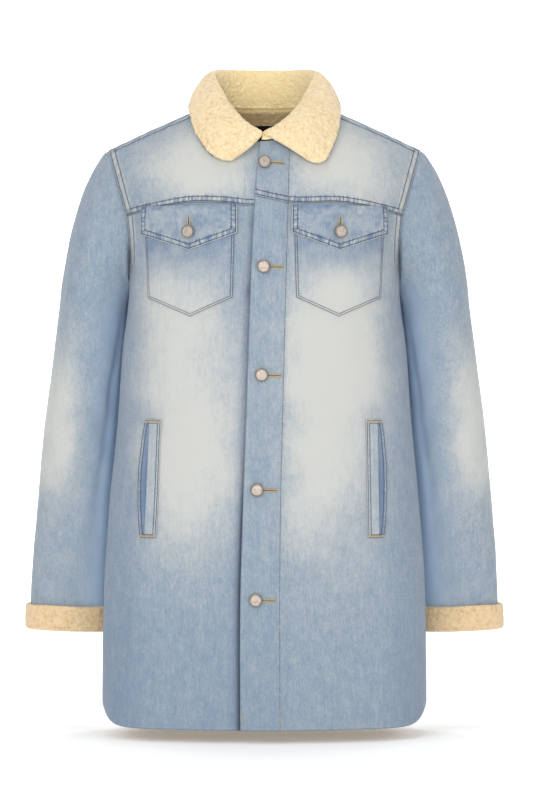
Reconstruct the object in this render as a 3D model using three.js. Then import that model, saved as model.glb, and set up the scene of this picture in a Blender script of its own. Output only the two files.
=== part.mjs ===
// Longline sherpa lined denim jacket, buttoned up and filled out as worn, hollow inside.
// Millimetres, +Z up. The front faces -Y and the wearer's left is +X. The origin is in the
// neck opening, level with the shoulders that carry the jacket.
import * as THREE from 'three';

// ---- driving sizes ------------------------------------------------------------------
const wall = 2.6;              // denim bonded to its pile lining
const seamGap = 0.3;           // between pieces at a seam, and under what is sewn on
const chestLine = -141;        // height where the body starts to round over the shoulders
const armholeDrop = 91;        // armhole height below the chest line
const armholeGap = 1.2;        // between the body's edge and the sleeve's, on the outer face
const acrossChest = 190;       // half width between the armholes on the chest line
const shoulderReach = 28;      // extra half width at the shoulder tip
const shoulderTipHeight = -46;
const shoulderDrop = 101.5;    // fall of the shoulder line from the centre to the tip
const ridgeSoftness = 0.15;    // how softly the two shoulder lines meet at the centre
const shoulderSeamForward = 11;
const fullness = 2.5;          // exponent of the body's rounded-box sections
const neckHalfWidth = 76;
const neckFront = 116.5;
const neckBack = 62;
const hemFront = -845;
const hemSideRise = 28;
const lapLift = 3.4;           // the left front stands this much proud where it laps over
const lapStart = 20;
const lapEnd = 36;
const lapUnder = 18;           // the right front runs this far past the centre, underneath

// body sections from the chest to the hem
const bodySections = [
  { z: -141, halfWidth: 201, front: 138, back: 135 },
  { z: -232, halfWidth: 190, front: 140, back: 134 },
  { z: -330, halfWidth: 199, front: 139, back: 130 },
  { z: -430, halfWidth: 206, front: 137, back: 127 },
  { z: -530, halfWidth: 215.5, front: 135, back: 126 },
  { z: -640, halfWidth: 223.5, front: 133, back: 127 },
  { z: -740, halfWidth: 226, front: 132, back: 128 },
  { z: -860, halfWidth: 226, front: 131, back: 128 },
];

// sleeve sections below the armhole; tilt lifts the outer side of the ring, and lag swings
// its inner side back behind the body
const sleeveSections = [
  { z: -262, x: 239.5, y: 14, halfX: 46.5, halfY: 74, tilt: 22, lag: 26 },
  { z: -340, x: 247.5, y: 29, halfX: 50.5, halfY: 67, tilt: 13, lag: 24 },
  { z: -430, x: 257.3, y: 46, halfX: 54.2, halfY: 60, tilt: 6, lag: 18 },
  { z: -530, x: 266, y: 58, halfX: 56, halfY: 52, tilt: 3, lag: 10 },
  { z: -640, x: 273, y: 67, halfX: 58, halfY: 45, tilt: 2, lag: 5 },
  { z: -717, x: 276, y: 71, halfX: 58, halfY: 41, tilt: 2, lag: 3 },
];

// free edge of the lapping front, by height
const lapEdge = [
  { z: -30, x: -6 },
  { z: -123, x: -12 },
  { z: -259, x: -19 },
  { z: -395, x: -24 },
  { z: -531, x: -29 },
  { z: -667, x: -33 },
  { z: -860, x: -33 },
];

// yoke seam heights across each front, from past the centre to the armhole
const yokeSeamLeft = [
  { x: -20, z: -116 },
  { x: 35, z: -127 },
  { x: 110, z: -127 },
  { x: 190, z: -141 },
];
const yokeSeamRight = [
  { x: -20, z: -131 },
  { x: 20, z: -131 },
  { x: 60, z: -127 },
  { x: 110, z: -127 },
  { x: 190, z: -141 },
];

// collar, from the centre back to the front end, in equal steps round the neckline: crest
// of the roll, where the leaf's edge lies on the body (x, and turn over the shoulder from
// 0 behind to 180 in front), swell of the leaf and its sag in its own plane
const collarBackRows = [
  { rollX: 0, rollY: 76, rollZ: 75, edgeX: 0, edgeTurn: 47.5, swell: 5, sag: 0 },
  { rollX: 34, rollY: 68, rollZ: 75, edgeX: 47, edgeTurn: 52.7, swell: 5, sag: 0 },
  { rollX: 60, rollY: 44, rollZ: 75, edgeX: 86, edgeTurn: 63, swell: 5, sag: 0 },
  { rollX: 71, rollY: 10, rollZ: 73, edgeX: 104.5, edgeTurn: 77, swell: 5, sag: 0 },
  { rollX: 67, rollY: -22, rollZ: 55, edgeX: 107.5, edgeTurn: 100, swell: 6, sag: 0 },
];
const collarLeftRows = [
  { rollX: 56, rollY: -52, rollZ: 34, edgeX: 103.5, edgeTurn: 119, swell: 8, sag: 0 },
  { rollX: 40, rollY: -84, rollZ: 9, edgeX: 98.5, edgeTurn: 134, swell: 9, sag: 0 },
  { rollX: 18, rollY: -114, rollZ: -17, edgeX: 88.5, edgeTurn: 148, swell: 8, sag: 0 },
  { rollX: -2, rollY: -129, rollZ: -33, edgeX: 75, edgeTurn: 158, swell: 3, sag: -2 },
];
const collarRightRows = [
  { rollX: 56, rollY: -52, rollZ: 34, edgeX: 100.5, edgeTurn: 119, swell: 8, sag: 0 },
  { rollX: 40, rollY: -84, rollZ: 9, edgeX: 93.5, edgeTurn: 134, swell: 9, sag: 0 },
  { rollX: 20, rollY: -113, rollZ: -17, edgeX: 80.5, edgeTurn: 146.5, swell: 8, sag: 3 },
  { rollX: 3, rollY: -127, rollZ: -32, edgeX: 58.5, edgeTurn: 155.5, swell: 3, sag: 8 },
];
const leafLift = 8.4;          // outer face of the leaf's edge above the body
const sherpaPile = 4.8;
const collarDenim = 1.5;
const denimGap = 0.45;         // between the sherpa and the denim under it
const standGap = 0.4;
const lapClearance = 0.35;     // more room over the lap's step, as a share of its lift
const collarEnds = { left: 183, right: 172 };   // angles round the neckline from the back
const rollReach = { back: 24, front: 9 };
const leastStandPull = 14;     // keeps the short front end of the stand upright at its foot

const pocket = {
  top: -139, cornerZ: -255, tipZ: -281, innerTop: 40, outerTop: 162,
  innerBottom: 43.5, outerBottom: 156, thickness: 1.2,
};
const flap = {
  top: -130, cornerZ: -168, tipZ: -191, inner: 37, outer: 166.5, thickness: 1.4,
};
const welts = [
  { side: 'left', topX: 149, bottomX: 152 },
  { side: 'right', topX: 151.5, bottomX: 159 },
];
const welt = { top: -422, bottom: -584, width: 16, thickness: 1.6 };
const frontButtons = [
  { z: -73, x: 0 },
  { z: -214, x: -1 },
  { z: -361, x: -4 },
  { z: -517, x: -10 },
  { z: -667, x: -12 },
];
const flapButton = { x: 102, z: -166 };
const buttonSize = { radius: 9, height: 5, rim: 1.4, neck: 3.2 };
const cuffBand = { top: 30, thickness: 5.6, lip: 4 };
const neckLining = { columns: 4, thickness: 3 };
const neckLabel = { halfWidth: 16.5, thickness: 0.8 };

const denimColour = 0xa6b8cf;
const denimPale = 0xc9d2d6;
const sherpaColour = 0xf3ddb0;
const metalColour = 0xcfc4bb;
const labelColour = 0x151515;

// ---- small maths --------------------------------------------------------------------
const lerp = (from, to, t) => from + (to - from) * t;
const clamp = (value, low, high) => Math.min(high, Math.max(low, value));
const radians = THREE.MathUtils.degToRad;
const degrees = THREE.MathUtils.radToDeg;
const sines = (value, power) => Math.sign(value) * Math.abs(value) ** power;

function smoothStep(low, high, value) {
  const t = clamp((value - low) / (high - low), 0, 1);
  return t * t * (3 - 2 * t);
}

// value of one named column of a table at a place along another, on a smooth curve
function along(table, axis, column, at) {
  const rising = table[0][axis] < table[1][axis] ? table : [...table].reverse();
  const place = clamp(at, rising[0][axis], rising[rising.length - 1][axis]);
  const last = rising.length - 2;
  const i = clamp(rising.findIndex((row) => row[axis] >= place) - 1, 0, last);
  const slope = (k) => {
    const before = rising[Math.max(k - 1, 0)];
    const after = rising[Math.min(k + 1, last + 1)];
    return (after[column] - before[column]) / (after[axis] - before[axis]);
  };
  const span = rising[i + 1][axis] - rising[i][axis];
  const t = (place - rising[i][axis]) / span;
  return hermite(rising[i][column], rising[i + 1][column], slope(i) * span,
    slope(i + 1) * span, t);
}

function hermite(from, to, startSlope, endSlope, t) {
  const t2 = t * t;
  const t3 = t2 * t;
  return from * (2 * t3 - 3 * t2 + 1) + startSlope * (t3 - 2 * t2 + t)
    + to * (3 * t2 - 2 * t3) + endSlope * (t3 - t2);
}

function hermitePoint(from, to, startPull, endPull, t) {
  const part = (key) => hermite(from[key], to[key], startPull[key], endPull[key], t);
  return new THREE.Vector3(part('x'), part('y'), part('z'));
}

const steps = (count) => Array.from({ length: count + 1 }, (_, i) => i / count);

// ---- the body's form ----------------------------------------------------------------
const section = (z, column) => along(bodySections, 'z', column, Math.min(z, chestLine));

// depth of a rounded-box section at a distance from its centre
function roundedDepth(x, halfWidth, depth) {
  return depth * (1 - clamp(Math.abs(x) / halfWidth, 0, 1) ** fullness) ** (1 / fullness);
}

const chest = bodySections[0];
const chestDepth = (across, side) => (
  roundedDepth(across * acrossChest, chest.halfWidth, chest[side]));

function ridgeHeight(across) {
  const softened = Math.hypot(across, ridgeSoftness) - Math.hypot(1, ridgeSoftness);
  return shoulderTipHeight - shoulderDrop * softened;
}

// upper body: across is 0 at the centre and 1 at the armhole, and turn is 0 at the back
// chest line, 90 degrees on the shoulder ridge and 180 at the front chest line
function upperBody(across, turn) {
  const rise = Math.sin(radians(turn));
  const level = Math.cos(radians(turn));
  return new THREE.Vector3(
    across * (acrossChest + shoulderReach * rise),
    level * chestDepth(across, level > 0 ? 'back' : 'front'),
    chestLine + (ridgeHeight(across) - chestLine) * rise,
  );
}

// a point of the upper body by x and turn, moved out along the surface normal
function onUpper(x, turn, lift) {
  const step = 0.5;
  const across = x / (acrossChest + shoulderReach * Math.sin(radians(turn)));
  const overStep = upperBody(across, turn + step).sub(upperBody(across, turn - step));
  const acrossStep = upperBody(across + step / acrossChest, turn)
    .sub(upperBody(across - step / acrossChest, turn));
  return upperBody(across, turn).addScaledVector(
    overStep.cross(acrossStep).normalize(), lift);
}

// depth of the front at a point seen from the front, above or below the chest line
function frontDepth(x, z) {
  if (z <= chestLine) {
    return roundedDepth(x, section(z, 'halfWidth'), section(z, 'front'));
  }
  const { across, rise } = placeOnUpper(x, z);
  return chestDepth(across, 'front') * Math.sqrt(Math.max(0, 1 - rise * rise));
}

function placeOnUpper(x, z) {
  let across = x / acrossChest;
  let rise = 0;
  for (let pass = 0; pass < 12; pass += 1) {
    rise = clamp((z - chestLine) / (ridgeHeight(across) - chestLine), 0, 1);
    across = x / (acrossChest + shoulderReach * rise);
  }
  return { across, rise };
}

// a point of the front by x and z, moved out along the surface normal
function onFront(x, z, lift) {
  const step = 1;
  const point = new THREE.Vector3(x, -frontDepth(x, z), z);
  const acrossStep = new THREE.Vector3(2 * step,
    frontDepth(x - step, z) - frontDepth(x + step, z), 0);
  const upStep = new THREE.Vector3(0,
    frontDepth(x, z - step) - frontDepth(x, z + step), 2 * step);
  return point.addScaledVector(acrossStep.cross(upStep).normalize(), lift);
}

const lapLiftAt = (x) => lapLift * (1 - smoothStep(lapStart, lapEnd, x));

const neckCentre = (neckBack - neckFront) / 2;
const neckHalfDepth = (neckBack + neckFront) / 2;

// neckline by its angle from the centre back, as a place on the upper body
function necklinePlace(angle) {
  const x = neckHalfWidth * Math.sin(radians(angle));
  const y = neckCentre + neckHalfDepth * Math.cos(radians(angle));
  let across = x / acrossChest;
  let turn = 90;
  for (let pass = 0; pass < 12; pass += 1) {
    const depth = chestDepth(across, y > 0 ? 'back' : 'front');
    turn = degrees(Math.acos(clamp(y / depth, -1, 1)));
    across = x / (acrossChest + shoulderReach * Math.sin(radians(turn)));
  }
  return { across, turn };
}

const shoulderSeamTurn = (across, forward) => (
  180 - degrees(Math.acos(forward / chestDepth(across, 'front'))));
const neckPointAngle = degrees(
  Math.acos((-shoulderSeamForward - neckCentre) / neckHalfDepth));

// ---- walls from grids ---------------------------------------------------------------
function gridNormals(rows, loop) {
  const count = rows[0].length;
  return rows.map((row, j) => row.map((_, i) => {
    const before = loop ? row[(i + count - 1) % count] : row[Math.max(i - 1, 0)];
    const after = loop ? row[(i + 1) % count] : row[Math.min(i + 1, count - 1)];
    const above = rows[Math.max(j - 1, 0)][i];
    const below = rows[Math.min(j + 1, rows.length - 1)][i];
    const acrossRow = new THREE.Vector3().subVectors(after, before);
    const downColumn = new THREE.Vector3().subVectors(below, above);
    return downColumn.cross(acrossRow).normalize();
  }));
}

// closed wall under a grid of outer points; rows run down and columns run so that
// down times across points out of the cloth. A crop keeps a window of a larger grid.
function wallFromGrid(rows, thickness, { loop = false, lift = 0, crop = null } = {}) {
  const normals = gridNormals(rows, loop);
  const window = (grid) => (crop
    ? grid.slice(crop.top, crop.bottom + 1).map((row) => row.slice(crop.left, crop.right + 1))
    : grid);
  const moved = (amount) => window(rows.map((row, j) => row.map((point, i) => (
    point.clone().addScaledVector(normals[j][i], amount)))));
  return shellBetween(moved(lift), moved(lift - thickness), loop);
}

function shellBetween(outer, inner, loop) {
  const down = outer.length;
  const count = outer[0].length;
  const points = [...outer.flat(), ...inner.flat()];
  const at = (j, i, layer) => layer * down * count + j * count + (i % count);
  const indices = [];
  const quad = (a, b, c, d) => indices.push(a, b, c, a, c, d);
  const spans = loop ? count : count - 1;
  for (let j = 0; j < down - 1; j += 1) {
    for (let i = 0; i < spans; i += 1) {
      quad(at(j, i, 0), at(j + 1, i, 0), at(j + 1, i + 1, 0), at(j, i + 1, 0));
      quad(at(j, i, 1), at(j, i + 1, 1), at(j + 1, i + 1, 1), at(j + 1, i, 1));
    }
  }
  for (let i = 0; i < spans; i += 1) {
    quad(at(0, i, 0), at(0, i + 1, 0), at(0, i + 1, 1), at(0, i, 1));
    quad(at(down - 1, i, 0), at(down - 1, i, 1), at(down - 1, i + 1, 1),
      at(down - 1, i + 1, 0));
  }
  if (!loop) {
    for (let j = 0; j < down - 1; j += 1) {
      quad(at(j, 0, 0), at(j, 0, 1), at(j + 1, 0, 1), at(j + 1, 0, 0));
      quad(at(j, count - 1, 0), at(j + 1, count - 1, 0), at(j + 1, count - 1, 1),
        at(j, count - 1, 1));
    }
  }
  return geometryFrom(points, indices);
}

function geometryFrom(points, indices) {
  const geometry = new THREE.BufferGeometry();
  const flat = points.flatMap((point) => [point.x, point.y, point.z]);
  geometry.setAttribute('position', new THREE.Float32BufferAttribute(flat, 3));
  geometry.setIndex(indices);
  geometry.computeVertexNormals();
  return geometry;
}

const mirrored = (rows) => rows.map((row) => (
  row.map((point) => new THREE.Vector3(-point.x, point.y, point.z)).reverse()));

const jacket = new THREE.Group();

function addPiece(name, geometry, color, roughness = 0.95, metalness = 0) {
  const material = new THREE.MeshStandardMaterial({ color, roughness, metalness });
  const mesh = new THREE.Mesh(geometry, material);
  mesh.name = name;
  jacket.add(mesh);
  return mesh;
}

// ---- lower fronts -------------------------------------------------------------------
const armholeAngles = [0, 14, 28, 44, 60, 76, 90];
const sideHem = hemFront + hemSideRise;
const sideRows = [-285, -345, -410, -475, -540, -605, -670, -730, -780, sideHem];

const hemHeight = (x, z) => (
  hemFront + hemSideRise * clamp(Math.abs(x) / section(z, 'halfWidth'), 0, 1) ** 8);

// heights of the panel rows along the armhole and the side seam
const rowHeights = [
  ...armholeAngles.map((angle) => chestLine - armholeDrop * Math.sin(radians(angle))),
  ...sideRows,
];

// angle on the section where the armhole or the side seam lies
function edgeAngle(z, side) {
  const below = clamp((chestLine - z) / armholeDrop, 0, 1);
  const reach = chestDepth(1, side) * Math.sqrt(1 - below * below) + seamGap;
  return Math.asin(clamp(reach / section(z, side), 0, 1) ** (fullness / 2));
}

function sectionPoint(angle, z, side) {
  const x = section(z, 'halfWidth') * sines(Math.cos(angle), 2 / fullness);
  const y = section(z, side) * sines(Math.sin(angle), 2 / fullness);
  return new THREE.Vector3(x, side === 'front' ? -y : y, z);
}

function angleAtX(x, z) {
  return Math.acos(clamp(sines(x / section(z, 'halfWidth'), fullness / 2), -1, 1));
}

// columns of a front: its free edge, both sides of the lap's step, and on to the side
function frontAngles(rowZ, freeEdge) {
  const start = edgeAngle(rowZ, 'front');
  const stepSide = angleAtX(lapEnd, rowZ);
  const centre = [freeEdge(rowZ), lapStart].map((x) => angleAtX(x, rowZ));
  return [...centre, ...steps(9).map((u) => lerp(stepSide, start, u))];
}

function lowerFront(seam, freeEdge, lifted) {
  const top = rowHeights[0];
  return rowHeights.map((rowZ) => {
    const v = (rowZ - top) / (sideHem - top);
    return frontAngles(rowZ, freeEdge).map((angle, i, all) => {
      const x = section(rowZ, 'halfWidth') * sines(Math.cos(angle), 2 / fullness);
      const seamZ = along(seam, 'x', 'z', x) - seamGap / 2;
      const z = i === all.length - 1 ? rowZ : lerp(seamZ, hemHeight(x, rowZ), v);
      if (z > chestLine) {
        return onFront(x, z, lifted ? lapLiftAt(x) : 0);
      }
      const point = sectionPoint(angle, z, 'front');
      point.y -= lifted ? lapLiftAt(point.x) : 0;
      return point;
    });
  });
}

const leftEdge = (z) => along(lapEdge, 'z', 'x', z);
const underEdge = () => -lapUnder;

addPiece('front_left', wallFromGrid(lowerFront(yokeSeamLeft, leftEdge, true), wall),
  denimColour);
addPiece('front_right',
  wallFromGrid(mirrored(lowerFront(yokeSeamRight, underEdge, false)), wall), denimColour);

// ---- front yokes --------------------------------------------------------------------
// top edge of the upper body's columns: the shoulder seam, then the neckline
const shoulderColumns = 5;

function shoulderTops(forward) {
  const neckAcross = necklinePlace(neckPointAngle).across;
  return steps(shoulderColumns).map((t) => {
    const across = lerp(1, neckAcross, t);
    return { across, turn: shoulderSeamTurn(across, forward) };
  });
}

const upperRows = [0, 0.05, 0.24, 0.43, 0.62, 0.81, 0.96, 1];

// columns fan from the shoulder seam and the neckline down to the yoke seam
function yoke(seam, freeEdge, lifted) {
  const bottoms = frontAngles(chestLine, freeEdge).map((angle, i, all) => {
    const x = chest.halfWidth * sines(Math.cos(angle), 2 / fullness);
    const seamZ = i === all.length - 1 ? chestLine : along(seam, 'x', 'z', x);
    const place = placeOnUpper(x, Math.max(seamZ, chestLine) + seamGap / 2);
    return { across: place.across, turn: 180 - degrees(Math.asin(place.rise)) };
  }).reverse();
  const endAngle = 180 - degrees(Math.asin(freeEdge(-36) / neckHalfWidth));
  const neckColumns = bottoms.length - 1 - shoulderColumns;
  const neckTops = steps(neckColumns).slice(1).map((t) => (
    necklinePlace(lerp(neckPointAngle, endAngle, t))));
  const tops = [...shoulderTops(shoulderSeamForward + 1.5 * seamGap), ...neckTops];
  return upperRows.map((v) => bottoms.map((bottom, k) => {
    const place = upperBody(lerp(tops[k].across, bottom.across, v),
      lerp(tops[k].turn, bottom.turn, v));
    const lift = lifted ? lapLiftAt(place.x) : 0;
    return lift > 0 ? onFront(place.x, place.z, lift) : place;
  }).reverse());
}

addPiece('yoke_front_left', wallFromGrid(yoke(yokeSeamLeft, leftEdge, true), wall), denimPale);
addPiece('yoke_front_right',
  wallFromGrid(mirrored(yoke(yokeSeamRight, underEdge, false)), wall), denimPale);

// ---- back ---------------------------------------------------------------------------
function backPanel() {
  const lower = rowHeights.map((rowZ) => {
    const top = rowHeights[0];
    const v = (rowZ - top) / (sideHem - top);
    const start = edgeAngle(rowZ, 'back');
    return steps(20).map((t) => {
      const angle = lerp(start, Math.PI - start, t);
      const x = section(rowZ, 'halfWidth') * sines(Math.cos(angle), 2 / fullness);
      const z = rowZ + (hemHeight(x, rowZ) - sideHem) * v ** 3;
      return sectionPoint(angle, z, 'back');
    });
  });
  const chestRow = lower[0];
  const sideTops = shoulderTops(shoulderSeamForward);
  const neckColumns = chestRow.length - 1 - 2 * shoulderColumns;
  const neckTops = steps(neckColumns).slice(1, -1).map((t) => (
    necklinePlace(lerp(neckPointAngle, -neckPointAngle, t))));
  const otherTops = [...sideTops].reverse().map(({ across, turn }) => (
    { across: -across, turn }));
  const tops = [...sideTops, ...neckTops, ...otherTops];
  const upper = [1, 0.95, 0.77, 0.6, 0.44, 0.28, 0.13].map((v) => chestRow.map((low, k) => (
    upperBody(lerp(low.x / chestRow[0].x, tops[k].across, v), tops[k].turn * v))));
  return [...upper, ...lower];
}

const backRows = backPanel();
addPiece('back', wallFromGrid(backRows, wall), denimColour);

// lining inside the back neck, under the back's own facets
const centreColumn = (backRows[0].length - 1) / 2;
const liningDepth = wall + seamGap;
addPiece('back_neck_lining', wallFromGrid(backRows, neckLining.thickness, {
  lift: -liningDepth,
  crop: {
    top: 0, bottom: 4, left: centreColumn - neckLining.columns,
    right: centreColumn + neckLining.columns,
  },
}), sherpaColour);

// label between two rows of the back, narrowed to its own width
function labelRows() {
  const narrowed = (row, side) => row[centreColumn].clone()
    .lerp(row[centreColumn + side], neckLabel.halfWidth / Math.abs(row[centreColumn + side].x));
  return backRows.slice(0, 6).map((row) => (
    [narrowed(row, -1), row[centreColumn].clone(), narrowed(row, 1)]));
}

addPiece('neck_label', wallFromGrid(labelRows(), neckLabel.thickness, {
  lift: -(liningDepth + neckLining.thickness + seamGap + 0.4),
  crop: { top: 2, bottom: 3, left: 0, right: 2 },
}), labelColour, 0.7);

// ---- sleeves and cuffs --------------------------------------------------------------
// armhole by its angle from the shoulder tip, through the front and the underarm
function armhole(angle) {
  const rise = Math.cos(radians(angle));
  const forward = Math.sin(radians(angle));
  if (rise >= 0) {
    return upperBody(1, forward >= 0 ? 90 + angle : 90 - (360 - angle));
  }
  const side = forward >= 0 ? 'front' : 'back';
  const z = chestLine + armholeDrop * rise;
  const y = -chestDepth(1, side) * forward;
  const squeeze = 1 - (Math.abs(y) / section(z, side)) ** fullness;
  return new THREE.Vector3(section(z, 'halfWidth') * squeeze ** (1 / fullness), y, z);
}

function sleeveRing(row, angle) {
  const outward = Math.cos(radians(angle));
  const back = row.lag * (1 - outward) / 2;
  return new THREE.Vector3(row.x + row.halfX * outward,
    row.y - row.halfY * Math.sin(radians(angle)) + back, row.z + row.tilt * outward);
}

const ringAngles = steps(20).slice(0, -1).map((t) => 360 * t);

function sleeveRows() {
  const capLow = sleeveSections[0];
  const cap = [0, 0.14, 0.3, 0.48, 0.66, 0.83].map((t) => ringAngles.map((angle) => {
    const outer = (1 + Math.cos(radians(angle))) / 2;
    const startPull = new THREE.Vector3(lerp(34, 122, outer), lerp(4, 0, outer),
      lerp(-26, -92, outer));
    const endPull = new THREE.Vector3(lerp(4, 20, outer), 12, lerp(-46, -150, outer));
    const start = armhole(angle);
    start.addScaledVector(startPull.clone().normalize(), armholeGap);
    return hermitePoint(start, sleeveRing(capLow, angle), startPull, endPull, t);
  }));
  const levels = [-262, -300, -340, -385, -430, -480, -530, -585, -640, -680, -717];
  const tube = levels.map((z) => {
    const row = { z };
    ['x', 'y', 'halfX', 'halfY', 'tilt', 'lag'].forEach((column) => {
      row[column] = along(sleeveSections, 'z', column, z);
    });
    return ringAngles.map((angle) => sleeveRing(row, angle));
  });
  return [...cap, ...tube];
}

// round band of sherpa turned up over the sleeve's end and closed under it
function cuffGeometry(rows) {
  const end = rows[rows.length - 1];
  const normals = gridNormals(rows, true)[rows.length - 1];
  const t = cuffBand.thickness;
  const profile = [
    { out: seamGap, up: cuffBand.top },
    { out: t * 0.7, up: cuffBand.top + 0.8 },
    { out: t, up: cuffBand.top - 3.5 },
    { out: t, up: 1 },
    { out: t * 0.7, up: -cuffBand.lip },
    { out: -wall, up: -cuffBand.lip },
    { out: -wall, up: -seamGap },
    { out: seamGap, up: -seamGap },
  ];
  const rings = end.map((point, i) => profile.map(({ out, up }) => {
    const level = normals[i].clone().setZ(0).normalize();
    const shrink = up > 0 ? point.clone().lerp(rows[rows.length - 2][i],
      up / (rows[rows.length - 2][i].z - point.z)) : point.clone().setZ(point.z + up);
    return shrink.addScaledVector(level, out);
  }));
  const count = profile.length;
  const indices = [];
  rings.forEach((_, i) => {
    const next = (i + 1) % rings.length;
    for (let k = 0; k < count; k += 1) {
      const after = (k + 1) % count;
      const [a, b] = [i * count + k, next * count + k];
      const [c, d] = [next * count + after, i * count + after];
      indices.push(a, c, b, a, d, c);
    }
  });
  return geometryFrom(rings.flat(), indices);
}

const mirroredGeometry = (geometry) => {
  const copy = geometry.clone().scale(-1, 1, 1);
  const index = copy.getIndex().array;
  for (let i = 0; i < index.length; i += 3) {
    [index[i], index[i + 1]] = [index[i + 1], index[i]];
  }
  copy.computeVertexNormals();
  return copy;
};

const leftSleeve = sleeveRows();
const sleeveLoop = leftSleeve.map((row) => [...row].reverse());
const sleeveWall = wallFromGrid(sleeveLoop, wall, { loop: true });
const cuffWall = cuffGeometry(sleeveLoop);
addPiece('sleeve_left', sleeveWall, denimColour);
addPiece('sleeve_right', mirroredGeometry(sleeveWall), denimColour);
addPiece('cuff_left', cuffWall, sherpaColour);
addPiece('cuff_right', mirroredGeometry(cuffWall), sherpaColour);

// ---- collar -------------------------------------------------------------------------
// rows from the wearer's right end round the back to the left end
function collarStations() {
  const half = (rows, sign) => [...collarBackRows, ...rows].map((row, k) => ({
    step: sign * k, ...row, rollX: sign * row.rollX, edgeX: sign * row.edgeX,
  }));
  const right = half(collarRightRows, -1).slice(1).reverse();
  return [...right, ...half(collarLeftRows, 1)];
}

const stations = collarStations();
const lastStep = stations[stations.length - 1].step;

function collarProfile(step) {
  const get = (column) => along(stations, 'step', column, step);
  const endness = smoothStep(0.62, 1, Math.abs(step) / lastStep);
  const angle = (step / lastStep) * (step > 0 ? collarEnds.left : collarEnds.right);
  const seat = necklinePlace(angle);
  const seatX = upperBody(seat.across, seat.turn).x;
  const lift = step > 0 && seat.turn > 90 ? lapLiftAt(seatX) : 0;
  const base = onUpper(seatX, seat.turn, lift);
  base.z += standGap + lapClearance * lift;
  const crest = new THREE.Vector3(get('rollX'), get('rollY'), get('rollZ'));
  const edge = onUpper(get('edgeX'), get('edgeTurn'), leafLift);
  const radial = new THREE.Vector3(Math.sin(radians(angle)), Math.cos(radians(angle)), 0);
  const reach = lerp(rollReach.back, rollReach.front, endness);
  const rollPull = radial.clone().multiplyScalar(reach);
  const standPull = new THREE.Vector3(0, 0, Math.max(crest.z - base.z, leastStandPull));
  const fall = edge.clone().sub(crest);
  const leafOut = new THREE.Vector3().crossVectors(
    new THREE.Vector3(radial.y, -radial.x, 0), fall).normalize();
  const stand = [0, 0.36, 0.68, 0.88].map((t) => (
    hermitePoint(base, crest, standPull, rollPull, t)));
  const leaf = [0, 0.1, 0.26, 0.46, 0.72, 1].map((t) => {
    const point = hermitePoint(crest, edge, rollPull, fall.clone().multiplyScalar(0.9), t);
    point.addScaledVector(leafOut, get('swell') * Math.sin(Math.PI * t));
    point.z -= get('sag') * Math.sin(Math.PI * t);
    return point;
  });
  return [...stand, ...leaf];
}

const collarSteps = steps(26).map((t) => lerp(-lastStep, lastStep, t));
const collarRows = collarSteps.map((step) => collarProfile(step));
addPiece('collar', wallFromGrid(collarRows, sherpaPile), sherpaColour);

// denim under the leaf, from below the roll to its edge
const leafStart = 7;
addPiece('under_collar', wallFromGrid(collarRows, collarDenim, {
  lift: -(sherpaPile + denimGap),
  crop: {
    top: 1, bottom: collarRows.length - 2, left: leafStart, right: collarRows[0].length - 1,
  },
}), denimColour);

// ---- chest pockets, flaps and welts -------------------------------------------------
const pointedBottom = (t, cornerZ, tipZ) => lerp(cornerZ, tipZ, 1 - Math.abs(2 * t - 1));

function pocketRows(lift) {
  return steps(5).map((v) => steps(8).map((u) => {
    const z = lerp(pocket.top, pointedBottom(u, pocket.cornerZ, pocket.tipZ), v);
    const x = lerp(lerp(pocket.innerTop, pocket.innerBottom, v),
      lerp(pocket.outerTop, pocket.outerBottom, v), u);
    return onFront(x, z, lift);
  }));
}

function flapRows(lift) {
  return steps(3).map((v) => steps(8).map((u) => (
    onFront(lerp(flap.inner, flap.outer, u),
      lerp(flap.top, pointedBottom(u, flap.cornerZ, flap.tipZ), v), lift))));
}

function weltRows({ topX, bottomX }, lift) {
  return steps(6).map((v) => steps(2).map((u) => {
    const z = lerp(welt.top, welt.bottom, v);
    return onFront(lerp(topX, bottomX, v) + welt.width * (u - 0.5), z, lift);
  }));
}

const faceGap = 0.55;
const pocketLift = faceGap + pocket.thickness;
const flapLift = pocketLift + faceGap + seamGap + flap.thickness;
const weltLift = faceGap + welt.thickness;

function addPair(name, rows, thickness) {
  addPiece(`${name}_left`, wallFromGrid(rows, thickness), denimColour);
  addPiece(`${name}_right`, wallFromGrid(mirrored(rows), thickness), denimColour);
}

addPair('pocket', pocketRows(pocketLift), pocket.thickness);
addPair('flap', flapRows(flapLift), flap.thickness);
welts.forEach((row) => {
  const rows = weltRows(row, weltLift);
  const facing = row.side === 'left' ? rows : mirrored(rows);
  addPiece(`welt_${row.side}`, wallFromGrid(facing, welt.thickness), denimColour);
});

// ---- buttons ------------------------------------------------------------------------
function buttonGeometry() {
  const { radius, height, rim, neck } = buttonSize;
  const profile = [
    new THREE.Vector2(0, 0),
    new THREE.Vector2(neck, 0),
    new THREE.Vector2(neck, height - 2 * rim),
    new THREE.Vector2(radius, height - 2 * rim),
    new THREE.Vector2(radius, height - rim),
    new THREE.Vector2(radius * 0.72, height),
    new THREE.Vector2(0, height),
  ];
  return new THREE.LatheGeometry(profile, 14);
}

function addButton(name, x, z, lift) {
  const button = addPiece(name, buttonGeometry(), metalColour, 0.35, 0.9);
  const foot = onFront(x, z, lift);
  const outward = onFront(x, z, lift + 1).sub(foot);
  button.quaternion.setFromUnitVectors(new THREE.Vector3(0, 1, 0), outward.normalize());
  button.position.copy(foot);
}

frontButtons.forEach(({ x, z }, i) => {
  addButton(`button_${i + 1}`, x, z, lapLift + faceGap);
});
addButton('pocket_button_left', flapButton.x, flapButton.z, flapLift + faceGap);
addButton('pocket_button_right', -flapButton.x, flapButton.z, flapLift + faceGap);

export default jacket;
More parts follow.
